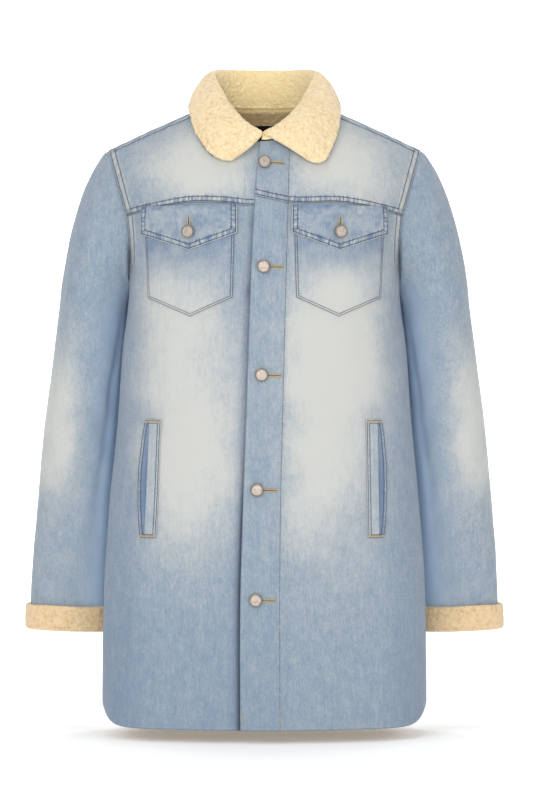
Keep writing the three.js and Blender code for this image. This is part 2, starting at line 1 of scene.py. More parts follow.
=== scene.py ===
# Sherpa lined denim jacket: cloth, seams, stitching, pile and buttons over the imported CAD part.
# Shapes are worked out in millimetres, as the cut is measured, and become metres in each mesh.
# Left and right are the wearer's; x grows to the wearer's left and z is up.
import math

import bmesh
import bpy
import numpy as np
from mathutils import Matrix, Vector


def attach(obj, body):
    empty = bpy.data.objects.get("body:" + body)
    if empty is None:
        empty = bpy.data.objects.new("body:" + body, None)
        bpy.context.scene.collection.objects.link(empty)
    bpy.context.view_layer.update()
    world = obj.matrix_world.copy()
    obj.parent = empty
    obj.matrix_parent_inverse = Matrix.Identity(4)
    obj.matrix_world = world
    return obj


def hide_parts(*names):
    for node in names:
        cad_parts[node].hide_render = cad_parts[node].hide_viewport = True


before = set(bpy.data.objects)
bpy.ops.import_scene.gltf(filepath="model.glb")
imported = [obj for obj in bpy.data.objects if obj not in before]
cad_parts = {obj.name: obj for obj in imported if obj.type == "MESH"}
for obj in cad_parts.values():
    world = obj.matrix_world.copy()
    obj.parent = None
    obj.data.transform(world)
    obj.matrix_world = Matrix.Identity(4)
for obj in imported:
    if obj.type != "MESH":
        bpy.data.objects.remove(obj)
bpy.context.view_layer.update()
mm = 0.001
random = np.random.default_rng(21)

# sizes of the cut
body = {
    "chestLine": -141, "armholeDrop": 91, "armholeGap": -0.8, "acrossChest": 190,
    "shoulderReach": 28, "tipHeight": -46, "shoulderDrop": 101.5, "ridgeSoftness": 0.15,
    "seamForward": 11, "fullness": 2.5, "neckHalfWidth": 76, "neckFront": 116.5, "neckBack": 62,
    "hemFront": -845, "hemSideRise": 28, "hemCorner": 22, "wall": 2.6,
}
lap = {"lift": 3.4, "start": 20, "end": 36, "under": 18, "rightFacing": 27}
bandEnd, stitchEnd = -208, -212      # the sleeve hides the armhole's band and rows below these
bodySections = {
    "z": [-141, -232, -330, -430, -530, -640, -740, -860],
    "halfWidth": [201, 190, 199, 206, 215.5, 223.5, 226, 226],
    "front": [138, 140, 139, 137, 135, 133, 132, 131],
    "back": [135, 134, 130, 127, 126, 127, 128, 128],
}
sleeveSections = {
    "z": [-262, -340, -430, -530, -640, -717],
    "x": [239.5, 247.5, 257.3, 266, 273, 276],
    "y": [14, 29, 46, 58, 67, 71],
    "halfX": [46.5, 50.5, 54.2, 56, 58, 58],
    "halfY": [74, 67, 60, 52, 45, 41],
    "tilt": [22, 13, 6, 3, 2, 2],
    "lag": [26, 24, 18, 10, 5, 3],
}
lapEdge = {
    "z": [-30, -123, -259, -395, -531, -667, -860],
    "x": [-6, -12, -19, -24, -29, -33, -33],
}
facingLine = {"z": [-20, -395, -600, -860], "x": [35, 25, 21, 21]}
yokeSeamLeft = {"x": [-20, 35, 110, 190], "z": [-116, -127, -127, -141]}
yokeSeamRight = {"x": [-20, 20, 60, 110, 190], "z": [-131, -131, -127, -127, -141]}


# small maths, all on arrays
def lerp(a, b, t):
    return a + (b - a) * t


def smoothStep(low, high, value):
    t = np.clip((value - low) / (high - low), 0, 1)
    return t * t * (3 - 2 * t)


def bump(value, centre, width):
    # bell curve: 1 at the centre, fading over the width on both sides
    return np.exp(-(((value - centre) / width) ** 2))


def hermite(a, b, startSlope, endSlope, t):
    # cubic through a and b that leaves and arrives with the two slopes
    t2, t3 = t * t, t * t * t
    return (a * (2 * t3 - 3 * t2 + 1) + startSlope * (t3 - 2 * t2 + t)
            + b * (3 * t2 - 2 * t3) + endSlope * (t3 - t2))


def along(table, axis, column, at):
    # one column of a table against another, as a smooth curve
    keys, values = np.array(table[axis], float), np.array(table[column], float)
    if keys[0] > keys[-1]:
        keys, values = keys[::-1], values[::-1]
    at = np.clip(at, keys[0], keys[-1])
    i = np.clip(np.searchsorted(keys, at) - 1, 0, len(keys) - 2)
    k = np.arange(len(keys))
    before, after = np.maximum(k - 1, 0), np.minimum(k + 1, len(keys) - 1)
    slope = (values[after] - values[before]) / (keys[after] - keys[before])
    span = keys[i + 1] - keys[i]
    t = (at - keys[i]) / span
    return hermite(values[i], values[i + 1], slope[i] * span, slope[i + 1] * span, t)


def sine(degrees):
    return np.sin(np.radians(degrees))


def cosine(degrees):
    return np.cos(np.radians(degrees))


def unit(v):
    return v / np.maximum(np.linalg.norm(v, axis=-1, keepdims=True), 1e-9)


def stack(x, y, z):
    return np.stack(np.broadcast_arrays(x, y, z), axis=-1).astype(float)


lattice = random.random(8192)


def hashed(cell, salt):
    # a repeatable random number from 0 to 1 for each whole-number cell
    mix = (cell[..., 0] * 73856093) ^ (cell[..., 1] * 19349663) ^ (cell[..., 2] * 83492791)
    return lattice[(mix ^ (salt * 2654435)) % 8192]


def softNoise(points, size, salt=0):
    # value noise from -1 to 1: random heights on a lattice, eased between its corners
    q = points / size
    cell = np.floor(q).astype(np.int64)
    f = q - cell
    f = f * f * (3 - 2 * f)
    total = 0
    for corner in np.ndindex(2, 2, 2):
        share = np.prod(np.where(np.array(corner) == 1, f, 1 - f), axis=-1)
        total = total + share * hashed(cell + np.array(corner), salt)
    return total * 2 - 1


def nearestNub(points, size, salt=0):
    # cell noise: distance to the nearest of points scattered one to a lattice cell, in cells
    q = points / size
    cell = np.floor(q).astype(np.int64)
    best = np.full(q.shape[:-1], 9.0)
    for step in np.ndindex(3, 3, 3):
        near = cell + np.array(step) - 1
        spot = near + np.stack([hashed(near, salt + axis) for axis in (1, 2, 3)], axis=-1)
        best = np.minimum(best, np.linalg.norm(spot - q, axis=-1))
    return best


# the body's form
def section(z, column):
    return along(bodySections, "z", column, np.minimum(z, body["chestLine"]))


def roundedDepth(x, halfWidth, depth):
    # superellipse: depth times (1 - (x / halfWidth) ^ n) ^ (1 / n)
    n = body["fullness"]
    return depth * (1 - np.clip(np.abs(x) / halfWidth, 0, 1) ** n) ** (1 / n)


def chestDepth(across, front):
    depth = np.where(front, bodySections["front"][0], bodySections["back"][0])
    return roundedDepth(across * body["acrossChest"], bodySections["halfWidth"][0], depth)


def ridgeHeight(across):
    soft = body["ridgeSoftness"]
    return body["tipHeight"] - body["shoulderDrop"] * (np.hypot(across, soft) - np.hypot(1, soft))


def upperWidth(rise):
    return body["acrossChest"] + body["shoulderReach"] * rise


def upperBody(across, turn):
    # quarter-round from the chest line over the shoulder ridge: level follows the cosine of
    # the turn and height its sine, and the width grows towards the ridge
    across, turn = np.broadcast_arrays(np.asarray(across, float), np.asarray(turn, float))
    rise, level = sine(turn), cosine(turn)
    y = level * chestDepth(across, level <= 0)
    z = body["chestLine"] + (ridgeHeight(across) - body["chestLine"]) * rise
    return stack(across * upperWidth(rise), y, z)


def onUpper(x, turn, lift):
    across = x / upperWidth(sine(turn))
    overStep = upperBody(across, turn + 0.5) - upperBody(across, turn - 0.5)
    acrossStep = upperBody(across + 0.0026, turn) - upperBody(across - 0.0026, turn)
    normal = unit(np.cross(overStep, acrossStep))
    return upperBody(across, turn) + normal * np.asarray(lift, float)[..., None]


def placeOnUpper(x, z):
    across = x / body["acrossChest"]
    for _ in range(12):
        rise = np.clip((z - body["chestLine"]) / (ridgeHeight(across) - body["chestLine"]), 0, 1)
        across = x / upperWidth(rise)
    return across, rise


def frontDepth(x, z):
    across, rise = placeOnUpper(x, z)
    upper = chestDepth(across, True) * np.sqrt(np.maximum(0, 1 - rise * rise))
    lower = roundedDepth(x, section(z, "halfWidth"), section(z, "front"))
    return np.where(z <= body["chestLine"], lower, upper)


def onFront(x, z, lift):
    # a point of the front by x and z, moved out along the surface
    x, z = np.broadcast_arrays(np.asarray(x, float), np.asarray(z, float))
    slopeX = (frontDepth(x + 1, z) - frontDepth(x - 1, z)) / 2
    slopeZ = (frontDepth(x, z + 1) - frontDepth(x, z - 1)) / 2
    normal = unit(stack(-slopeX, -1.0, -slopeZ))
    return stack(x, -frontDepth(x, z), z) + normal * np.asarray(lift, float)[..., None]


def lapLiftAt(x):
    return lap["lift"] * (1 - smoothStep(lap["start"], lap["end"], x))


def power(value, exponent):
    return np.sign(value) * np.abs(value) ** exponent


def sectionX(angle, z):
    return section(z, "halfWidth") * power(np.cos(angle), 2 / body["fullness"])


def sectionPoint(angle, z, side):
    y = section(z, side) * power(np.sin(angle), 2 / body["fullness"])
    return stack(sectionX(angle, z), -y if side == "front" else y, z)


def angleAtX(x, z):
    return np.arccos(np.clip(power(x / section(z, "halfWidth"), body["fullness"] / 2), -1, 1))


def edgeAngle(z, side):
    # where the armhole or the side seam lies on the section
    below = np.clip((body["chestLine"] - z) / body["armholeDrop"], 0, 1)
    reach = chestDepth(1.0, side == "front") * np.sqrt(1 - below * below) + 0.3
    return np.arcsin(np.clip(reach / section(z, side), 0, 1) ** (body["fullness"] / 2))


neckCentre = (body["neckBack"] - body["neckFront"]) / 2
neckHalfDepth = (body["neckBack"] + body["neckFront"]) / 2
neckPointAngle = math.degrees(math.acos((-body["seamForward"] - neckCentre) / neckHalfDepth))


def necklinePlace(angle):
    # the neckline is an ellipse seen from above, laid on the upper body
    x = body["neckHalfWidth"] * sine(angle)
    y = neckCentre + neckHalfDepth * cosine(angle)
    across = x / body["acrossChest"]
    for _ in range(12):
        turn = np.degrees(np.arccos(np.clip(y / chestDepth(across, y <= 0), -1, 1)))
        across = x / upperWidth(sine(turn))
    return across, turn


def shoulderSeamTurn(across, forward):
    return 180 - np.degrees(np.arccos(forward / chestDepth(across, True)))


def hemHeight(x, z):
    reach = np.clip(np.abs(x) / section(z, "halfWidth"), 0, 1)
    return body["hemFront"] + body["hemSideRise"] * reach ** body["hemCorner"]


sideHem = body["hemFront"] + body["hemSideRise"]


# soft folds, listed: where each trough lies, its length, width, depth and lean
# side is the x side it lies on as worn; a negative depth is a ridge
frontFolds = {
    "x": [-176, -120, -60, 176, 128, 66, -150, 150, -100, 96, -30, 48, -196, 198],
    "z": [-330, -700, -690, -340, -720, -660, -560, -610, -470, -500, -800, -800, -620, -640],
    "length": [120, 150, 120, 130, 140, 150, 110, 120, 130, 140, 60, 60, 150, 150],
    "width": [16, 24, 20, 16, 26, 22, 20, 22, 30, 30, 18, 18, 14, 14],
    "depth": [2.2, 1.8, -1.2, 2.0, 1.6, -1.2, 1.5, 1.4, -1.0, -1.0, 1.6, 1.4, 1.6, 1.6],
    "lean": [-0.10, 0.03, -0.02, 0.10, -0.04, 0.03, 0.06, -0.06, 0.0, 0.0, 0.02, -0.02, 0.0, 0.0],
}
backFolds = {
    "x": [-150, -80, 10, 92, 158, -40, 60, -120, 130],
    "z": [-330, -640, -700, -620, -350, -420, -440, -740, -760],
    "length": [150, 200, 160, 190, 150, 140, 150, 110, 100],
    "width": [20, 26, 24, 28, 20, 30, 28, 20, 22],
    "depth": [3.0, 2.2, 2.4, 2.0, 3.0, -1.4, -1.2, 2.0, 2.0],
    "lean": [-0.12, 0.03, 0.0, -0.03, 0.12, 0.02, -0.02, 0.03, -0.03],
}


def foldHeight(table, x, z, around=False):
    # each trough is a bell curve across its leaning line, faded at its two ends
    height = np.zeros(np.broadcast(x, z).shape)
    for x0, z0, length, width, depth, lean in zip(*table.values()):
        away = x - x0 - lean * (z - z0) - 3 * np.sin((z - z0) / (40 if around else 47))
        if around:
            away = (away + 180) % 360 - 180
        height = height - depth * bump(away, 0, width) * bump(z, z0, length)
    return height


def clothDrift(points, amount):
    # slow unevenness of cloth that is never quite flat
    stretched = points * np.array([1, 1, 0.45])
    return amount * (softNoise(stretched, 34, 3) + 0.5 * softNoise(stretched, 15, 4))


def frontRelief(x, z):
    spots = stack(x, 0.0, z)
    calm = 1 - 0.8 * smoothStep(-330, -250, z)
    height = foldHeight(frontFolds, x, z) + clothDrift(spots, 0.55) * calm
    # the hem swings in a slow wave
    return height + 1.6 * np.sin(x / 36 + 0.6) * smoothStep(-760, -845, z)


# distances and fields on a grid of points
def gridNormals(grid, loop=False):
    down = np.gradient(grid, axis=0)
    if loop:
        acrossRow = np.roll(grid, -1, axis=1) - np.roll(grid, 1, axis=1)
    else:
        acrossRow = np.gradient(grid, axis=1)
    return unit(np.cross(down, acrossRow))


def measured(grid, axis, fromEnd=False):
    # length along the cloth from one edge, in mm
    step = np.linalg.norm(np.diff(grid, axis=axis), axis=-1)
    pad = [(0, 0), (0, 0)]
    pad[axis] = (1, 0)
    length = np.cumsum(np.pad(step, pad), axis=axis)
    return np.take(length, [-1], axis=axis) - length if fromEnd else length


def margins(grid):
    # lengths along the cloth from its left, right, top and bottom edges
    return [measured(grid, axis, fromEnd) for axis in (1, 0) for fromEnd in (False, True)]


def raised(grid, rise, loop=False):
    return grid + gridNormals(grid, loop) * rise[..., None]


def bandRaise(distance, width=9.0, rise=0.9):
    # a felled seam stands proud over its width and rolls off at both edges
    return rise * (smoothStep(-0.5, 1.2, distance) - smoothStep(width, width + 3.5, distance))


def puckers(distance, alongSeam, salt, reach=11.0):
    # short ridges square to a stitched seam, strongest between its two rows
    spots = stack(alongSeam, distance * 0.35, 0.0)
    ridge = softNoise(spots, 6.5, salt) + 0.5 * softNoise(spots, 3.4, salt + 5)
    return ridge * (1 - smoothStep(reach * 0.55, reach, distance))


far = 60.0


def nearestSeam(shape, seams):
    # the nearest of several seams at each point: its distance and the place along it
    distance, place = np.full(shape, far), np.zeros(shape)
    for gap, alongIt in seams:
        closer = gap < distance
        distance = np.where(closer, gap, distance)
        place = np.where(closer, alongIt, place)
    return distance, place


# meshes from grids
def numbered(rows, columns, loop=False):
    # vertex numbers of a grid, with its first column repeated where it closes round
    n = np.arange(rows * columns).reshape(rows, columns)
    return np.concatenate([n, n[:, :1]], axis=1) if loop else n


def quads(n):
    return np.stack([n[:-1, :-1], n[1:, :-1], n[1:, 1:], n[:-1, 1:]], axis=-1).reshape(-1, 4)


turned = [0, 3, 2, 1]      # the same corners the other way round


def addField(mesh, name, values):
    # one number or one vector for each vertex
    kind, key = ("FLOAT", "value") if values.ndim == 1 else ("FLOAT_VECTOR", "vector")
    layer = mesh.attributes.new(name, kind, "POINT")
    layer.data.foreach_set(key, values.astype(np.float32).ravel())


def cloth(name, outer, thickness, fields=None, loop=False, inside=None, lining=0):
    # closed wall: fine outer face, coarser inner face, and rims
    rows, columns = outer.shape[:2]
    if inside is None:
        inside = raised(outer, np.full((rows, columns), -float(thickness)), loop)
    stride = 4
    kept = np.arange(0, rows, stride)
    points = np.concatenate([outer.reshape(-1, 3), inside[kept].reshape(-1, 3)]) * mm
    o = numbered(rows, columns, loop)
    n = numbered(len(kept), columns, loop) + rows * columns
    faces4 = [quads(o), quads(n)[:, turned], quads(np.stack([o[0], n[0]]))[:, turned],
              quads(np.stack([o[-1], n[-1]]))]
    faces3 = []
    if not loop:
        m = np.arange(rows - 1)
        k = m // stride
        step = np.arange(len(kept) - 1)
        joint = (step + 1) * stride
        faces3 = [
            np.stack([o[m, 0], n[k, 0], o[m + 1, 0]], axis=1),
            np.stack([n[step, 0], n[step + 1, 0], o[joint, 0]], axis=1),
            np.stack([o[m, -1], o[m + 1, -1], n[k, -1]], axis=1),
            np.stack([o[joint, -1], n[step + 1, -1], n[step, -1]], axis=1),
        ]
    mesh = meshFrom(name, points, faces4, faces3)
    slots = np.zeros(len(mesh.polygons), np.int32)
    slots[len(faces4[0]):len(faces4[0]) + len(faces4[1])] = lining
    mesh.polygons.foreach_set("material_index", slots)
    # the cloth hangs straight, so its grain is told by width, height and depth
    grain = outer[..., [0, 2, 1]] * mm
    addField(mesh, "Cloth", np.concatenate([grain.reshape(-1, 3), grain[kept].reshape(-1, 3)]))
    for key, field in (fields or {}).items():
        field = np.broadcast_to(field, (rows, columns))
        addField(mesh, key, np.concatenate([field.ravel(), field[kept].ravel()]))
    return addObject(name, mesh)


def meshFrom(name, points, faces4, faces3=()):
    four = np.concatenate(faces4)
    three = np.concatenate(faces3) if len(faces3) else np.zeros((0, 3), int)
    mesh = bpy.data.meshes.new(name)
    mesh.vertices.add(len(points))
    mesh.vertices.foreach_set("co", np.asarray(points, np.float32).ravel())
    loops = np.concatenate([four.ravel(), three.ravel()]).astype(np.int32)
    sizes = np.repeat([4, 3], [len(four), len(three)])
    starts = np.concatenate([[0], np.cumsum(sizes)[:-1]]).astype(np.int32)
    mesh.loops.add(len(loops))
    mesh.loops.foreach_set("vertex_index", loops)
    mesh.polygons.add(len(sizes))
    mesh.polygons.foreach_set("loop_start", starts)
    mesh.update(calc_edges=True)
    mesh.polygons.foreach_set("use_smooth", np.ones(len(sizes), bool))
    mesh.validate()
    return mesh


def addObject(name, data):
    obj = bpy.data.objects.new(name, data)
    bpy.context.scene.collection.objects.link(obj)
    return obj


def finishPiece(obj, materials, node=None):
    for material in materials:
        obj.data.materials.append(material)
    if node:
        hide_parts(node)
        obj.name = f"worn_{node}"
    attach(obj, "root")
    # the two of a pair are cut alike
    print(f"{obj.name}: {len(obj.data.polygons)} faces")


def denimPiece(name, outer, thickness, fields, loop=False, lined=False):
    # lined cloth shows pile on its inner face; unstated lines of thread are far away
    fields = {"line": far, "linePlace": 0.0, **fields}
    piece = cloth(name, outer, thickness, fields, loop, lining=int(lined))
    finishPiece(piece, [denim, liningPile] if lined else [denim], name)


def pilePiece(name, outer, thickness, fields, inside=None):
    finishPiece(cloth(name, outer, thickness, fields, inside=inside), [sherpa], name)


def mirroredGrid(grid):
    return (grid * np.array([-1, 1, 1]))[:, ::-1]


def asWorn(sign, fields, *grids):
    # everything is worked out for the wearer's left, and the right side mirrors it
    if sign > 0:
        return fields, *grids
    shape = grids[0].shape[:2]
    fields = {key: np.broadcast_to(field, shape)[:, ::-1] for key, field in fields.items()}
    return fields, *(mirroredGrid(grid) for grid in grids)


def sideName(name, sign):
    return f"{name}_left" if sign > 0 else f"{name}_right"


# shading
def colour(r, g, b):
    # a colour as it looks on a screen, 0 to 255, turned to the linear values that light uses
    def linear(c):
        c = c / 255
        return c / 12.92 if c <= 0.04045 else ((c + 0.055) / 1.055) ** 2.4
    return (linear(r), linear(g), linear(b), 1.0)


class Wire:
    # a node's output that sums can be written on
    def __init__(self, tree, socket):
        self.tree, self.socket = tree, socket

    def node(self, kind, inputs, output=0, **settings):
        made = self.tree.nodes.new(kind)
        for key, value in settings.items():
            setattr(made, key, value)
        pairs = inputs.items() if isinstance(inputs, dict) else enumerate(inputs)
        for key, value in pairs:
            if isinstance(value, Wire):
                self.tree.links.new(value.socket, made.inputs[key])
            elif value is not None:
                made.inputs[key].default_value = value
        return Wire(self.tree, made.outputs[output])

    def maths(self, operation, *others):
        return self.node("ShaderNodeMath", [self, *others], operation=operation)

    def __add__(self, other):
        return self.maths("ADD", other)

    def __sub__(self, other):
        return self.maths("SUBTRACT", other)

    def __rsub__(self, other):
        return (self * -1) + other

    def __mul__(self, other):
        return self.maths("MULTIPLY", other)

    def __truediv__(self, other):
        return self.maths("DIVIDE", other)

    __radd__ = __add__
    __rmul__ = __mul__

    def limited(self, low=0.0, high=1.0):
        return self.node("ShaderNodeClamp", [self, low, high])

    def eased(self, low, high):
        # 0 below low, 1 above high; high may be the lower of the two
        if low > high:
            return 1 - self.eased(high, low)
        return self.node("ShaderNodeMapRange", [self, low, high, 0.0, 1.0],
                         interpolation_type="SMOOTHSTEP")

    def near(self, centre, width):
        # a soft peak of 1 at the centre
        return 1 - (self - centre).maths("ABSOLUTE").eased(0.0, width)

    def noise(self, size, detail=2.0, rough=0.5, output="Fac"):
        # noise over a vector in metres; size gives the grain's width in mm on each axis
        scale = tuple(1000 / s for s in np.broadcast_to(size, 3))
        scaled = self.node("ShaderNodeVectorMath", [self, scale], operation="MULTIPLY")
        return self.node("ShaderNodeTexNoise",
                         {"Vector": scaled, "Scale": 1.0, "Detail": detail, "Roughness": rough},
                         output)

    def part(self, axis):
        return self.node("ShaderNodeSeparateXYZ", [self], axis)

    def mixed(self, first, second):
        # this wire is the share of the second colour
        made = self.tree.nodes.new("ShaderNodeMix")
        made.data_type = "RGBA"
        self.tree.links.new(self.socket, made.inputs[0])
        for index, value in ((6, first), (7, second)):
            if isinstance(value, Wire):
                self.tree.links.new(value.socket, made.inputs[index])
            else:
                made.inputs[index].default_value = value
        return Wire(self.tree, made.outputs[2])


def newMaterial(name, **constants):
    material = bpy.data.materials.new(name)
    material.use_nodes = True
    shader = material.node_tree.nodes["Principled BSDF"]
    for key, value in constants.items():
        shader.inputs[key.replace("_", " ")].default_value = value
    start = Wire(material.node_tree, None)
    return material, shader, start


def attribute(start, name, output="Fac"):
    return start.node("ShaderNodeAttribute", [], output, attribute_name=name)


def finishShader(start, shader, base, height, roughness=None):
    # height is in mm
    links = start.tree.links
    links.new(base.socket, shader.inputs["Base Color"])
    bumped = start.node("ShaderNodeBump", {"Strength": 1.0, "Distance": mm, "Height": height},
                        "Normal")
    links.new(bumped.socket, shader.inputs["Normal"])
    if roughness is not None:
        links.new(roughness.socket, shader.inputs["Roughness"])


denimLook = {
    "blue": colour(120, 143, 166),
    "deep": colour(78, 106, 146),
    "pale": colour(202, 203, 199),
    "row": colour(74, 84, 106),
    "warm": colour(168, 152, 132),
    "shadow": colour(46, 54, 68),
    "inner": colour(184, 210, 238),   # painted light: a brighter blue for the sleeves' inner side, which lies in the body's shade
    "rowGaps": (2.0, 8.0),        # twin stitch rows, mm in from the seam
}


def denimMaterial(look):
    material, shader, start = newMaterial("washedDenim", Roughness=0.92, Sheen_Weight=0.12)
    clothAt = attribute(start, "Cloth", "Vector")
    fade = attribute(start, "fade")
    deep = attribute(start, "deep")
    seam, place = attribute(start, "seam"), attribute(start, "place")
    line, linePlace = attribute(start, "line"), attribute(start, "linePlace")
    slub = clothAt.noise((1.5, 7, 1.5), 3.0, 0.65)
    streak = clothAt.noise((3.6, 26, 3.6), 3.0, 0.6)
    mottle = clothAt.noise((13, 18, 13), 4.0, 0.65)
    fleck = clothAt.noise((1.2, 2.0, 1.2), 2.0, 0.6)
    weave = (clothAt.part(0) * 620 + clothAt.part(1) * 980).maths("FRACT").near(0.5, 0.5)
    wash = (fade + (slub - 0.5) * 0.85 + (streak - 0.5) * 0.5 + (mottle - 0.5) * 0.65
            + (fleck - 0.5) * 0.7).limited(-0.3, 1.15)
    base = wash.eased(-0.4, 1.2).mixed(look["blue"], look["pale"])
    # painted light: the sleeves' inner side, which the body shades, is mixed towards a brighter
    # blue
    base = attribute(start, "rubbedAndLit").mixed(base, look["inner"])
    dark = (deep + (mottle - 0.5) * deep * 0.8 + (slub - 0.5) * 0.1).limited()
    base = dark.mixed(base, look["deep"])
    # puckers along the stitched bands: pale on the ridges, blue in the dips
    ridge = start.node("ShaderNodeCombineXYZ", [place * mm, seam * mm, 0.0])
    ridge = ridge.noise((3.2, 16, 9), 2.0, 0.6)
    band = seam.eased(12.0, 8.4) * attribute(start, "gather")
    base = (ridge.eased(0.52, 0.38) * band * 0.65).mixed(base, look["deep"])
    base = (ridge.eased(0.52, 0.64) * band * 0.6).mixed(base, look["pale"])
    # the twin rows darken the cloth: partly the thread's own tone, partly painted shade in the
    # furrows the stitches pull
    rows = (seam.near(look["rowGaps"][0], 1.3) + seam.near(look["rowGaps"][1], 1.3)).limited()
    base = (rows * 0.8).mixed(base, look["row"])
    base = (seam.eased(1.3, 0.2) * 0.8).mixed(base, look["pale"])
    # single rows: a fine furrow with a warm tone from the thread
    furrow = line.near(0.0, 1.2)
    lineWear = start.node("ShaderNodeCombineXYZ", [linePlace * mm, line * mm, 0.0])
    lineWear = lineWear.noise(9, 2.0, 0.6)
    base = (furrow * 0.45).mixed(base, look["warm"])
    base = (line.near(0.0, 3.4) * lineWear.eased(0.52, 0.7) * 0.35).mixed(base, look["pale"])
    base = attribute(start, "shade").limited().mixed(base, look["shadow"])
    height = ((slub - 0.5) * 0.22 + weave * 0.05 + (fleck - 0.5) * 0.12
              + (ridge - 0.5) * band * 1.5 - rows * 0.5 - furrow * 0.4)
    finishShader(start, shader, base, height)
    return material


sherpaLook = {
    "cream": colour(253, 231, 188),
    "pitShade": colour(216, 176, 114),
    # painted light: brighter, warmer creams for the neck's hollow, which lies in shade
    "litHollowCream": colour(255, 236, 184),
    "litHollowPit": colour(250, 210, 142),
    "curl": 5.4,
}


def sherpaMaterial(name, look):
    material, shader, start = newMaterial(name, Roughness=1.0, Sheen_Weight=0.35,
                                          Sheen_Roughness=0.6)
    spot = start.node("ShaderNodeTexCoord", [], "Object")
    pitShade = attribute(start, "pitShade")
    curls = spot.noise(look["curl"], 3.0, 0.65)
    fine = spot.noise(2.2, 2.0, 0.6)
    broad = spot.noise(26, 2.0, 0.5)
    # painted shade: darker, warmer cream in the pits between curls and over the curls' mottling,
    # in place of the pile's own shading; the broad noise is a slow random change of tone
    shade = pitShade * 0.4 + (curls - 0.5) * 2.2 + (fine - 0.5) * 1.0 + (broad - 0.5) * 0.5
    shade = shade.eased(-0.45, 1.15)
    # painted light: the inside of the neck, which lies in shade, gets a brighter and warmer cream
    # than the face
    base = attribute(start, "inner").mixed(shade.mixed(look["cream"], look["pitShade"]),
                                           shade.mixed(look["litHollowCream"], look["litHollowPit"]))
    finishShader(start, shader, base, curls * 2.6 + fine * 0.9)
    return material


denim = denimMaterial(denimLook)
sherpa = sherpaMaterial("creamPile", sherpaLook)
liningPile = sherpaMaterial("liningPile", {**sherpaLook, "cream": colour(240, 218, 172)})
cuffPile = sherpaMaterial("cuffPile", {**sherpaLook, "cream": colour(240, 211, 168),
                                       "pitShade": colour(204, 164, 106)})


def plainMaterial(name, base, grain, depth, spread=0.12, **constants):
    # one tone, mottled by its own grain
    material, shader, start = newMaterial(name, **constants)
    spot = start.node("ShaderNodeTexCoord", [], "Object")
    speck = spot.noise(grain, 3.0, 0.6)
    darker = tuple(c * (1 - spread * 3) for c in base[:3]) + (1.0,)
    finishShader(start, shader, speck.eased(0.35, 0.7).mixed(darker, base), speck * depth)
    return material


thread = plainMaterial("blueGreyThread", colour(92, 100, 122), 0.8, 0.1, Roughness=0.8)
tanThread = plainMaterial("tanThread", colour(212, 194, 156), 0.8, 0.1, Roughness=0.75)
# painted shade: a near-black sheet for the shadow in each buttonhole's slit
slitShade = plainMaterial("slitShade", colour(40, 36, 38), 1.0, 0.05, Roughness=1.0)
labelCloth = plainMaterial("blackLabel", colour(26, 26, 30), 0.5, 0.15, Roughness=0.6)
print("materials ready")


# where the wash has bleached the cloth
# each patch is a rounded blot: centre, half sizes and strength, in mm by x and z as worn
frontPatches = {
    "x": [-100, -92, -128, 84, 92, 66, -104, 104, 120],
    "z": [-405, -498, -380, -405, -300, -512, -262, -262, -330],
    "halfX": [62, 48, 34, 56, 68, 36, 50, 50, 46],
    "halfZ": [154, 82, 146, 152, 90, 68, 46, 46, 120],
    "strength": [0.75, 0.35, 0.25, 0.75, 0.35, 0.35, 0.3, 0.35, 0.25],
}
yokePatches = {
    "x": [-104, -60, 118, 80],
    "z": [-78, -92, -72, -92],
    "halfX": [62, 40, 58, 50],
    "halfZ": [40, 34, 42, 34],
    "strength": [0.85, 0.35, 0.85, 0.35],
}
sleevePatches = {
    "x": [291, 299],
    "z": [-415, -440],
    "halfX": [36, 36],
    "halfZ": [88, 60],
    "strength": [0.7, 0.25],
}
backPatches = {
    "x": [-95, 95, 0, -85, 85],
    "z": [-420, -420, -90, -640, -640],
    "halfX": [60, 60, 120, 50, 50],
    "halfZ": [180, 180, 40, 100, 100],
    "strength": [0.6, 0.6, 0.5, 0.25, 0.25],
}


def bleached(patches, x, z):
    # blots with wandering soft edges, added up
    spots = stack(x, 0.0, z)
    wanderX = x + 14 * softNoise(spots, 42, 31) + 5 * softNoise(spots, 14, 33)
    wanderZ = z + 18 * softNoise(spots, 50, 32)
    total = np.zeros(np.shape(x))
    for x0, z0, halfX, halfZ, strength in zip(*patches.values()):
        reach = np.abs((wanderX - x0) / halfX) ** 2.6 + np.abs((wanderZ - z0) / halfZ) ** 2.6
        total = total + strength * np.exp(-0.7 * reach)
    return total


# thread
threadParts = []


def crossing(grid, normals, field, target, axis=0, turn=1):
    # the line over a grid along which a field has a given value
    # the field rises along the axis, or against it where turn is -1
    if axis == 1:
        grid, normals, field = (np.swapaxes(a, 0, 1) for a in (grid, normals, field))
    grid, normals, field = grid[::turn], normals[::turn], field[::turn]
    over = field >= target
    k = np.argmax(over, axis=0)
    good = np.flatnonzero(over.any(axis=0) & (k > 0))
    k = k[good]
    low, high = field[k - 1, good], field[k, good]
    t = ((target - low) / np.maximum(high - low, 1e-6))[:, None]
    return lerp(grid[k - 1, good], grid[k, good], t), normals[k, good]


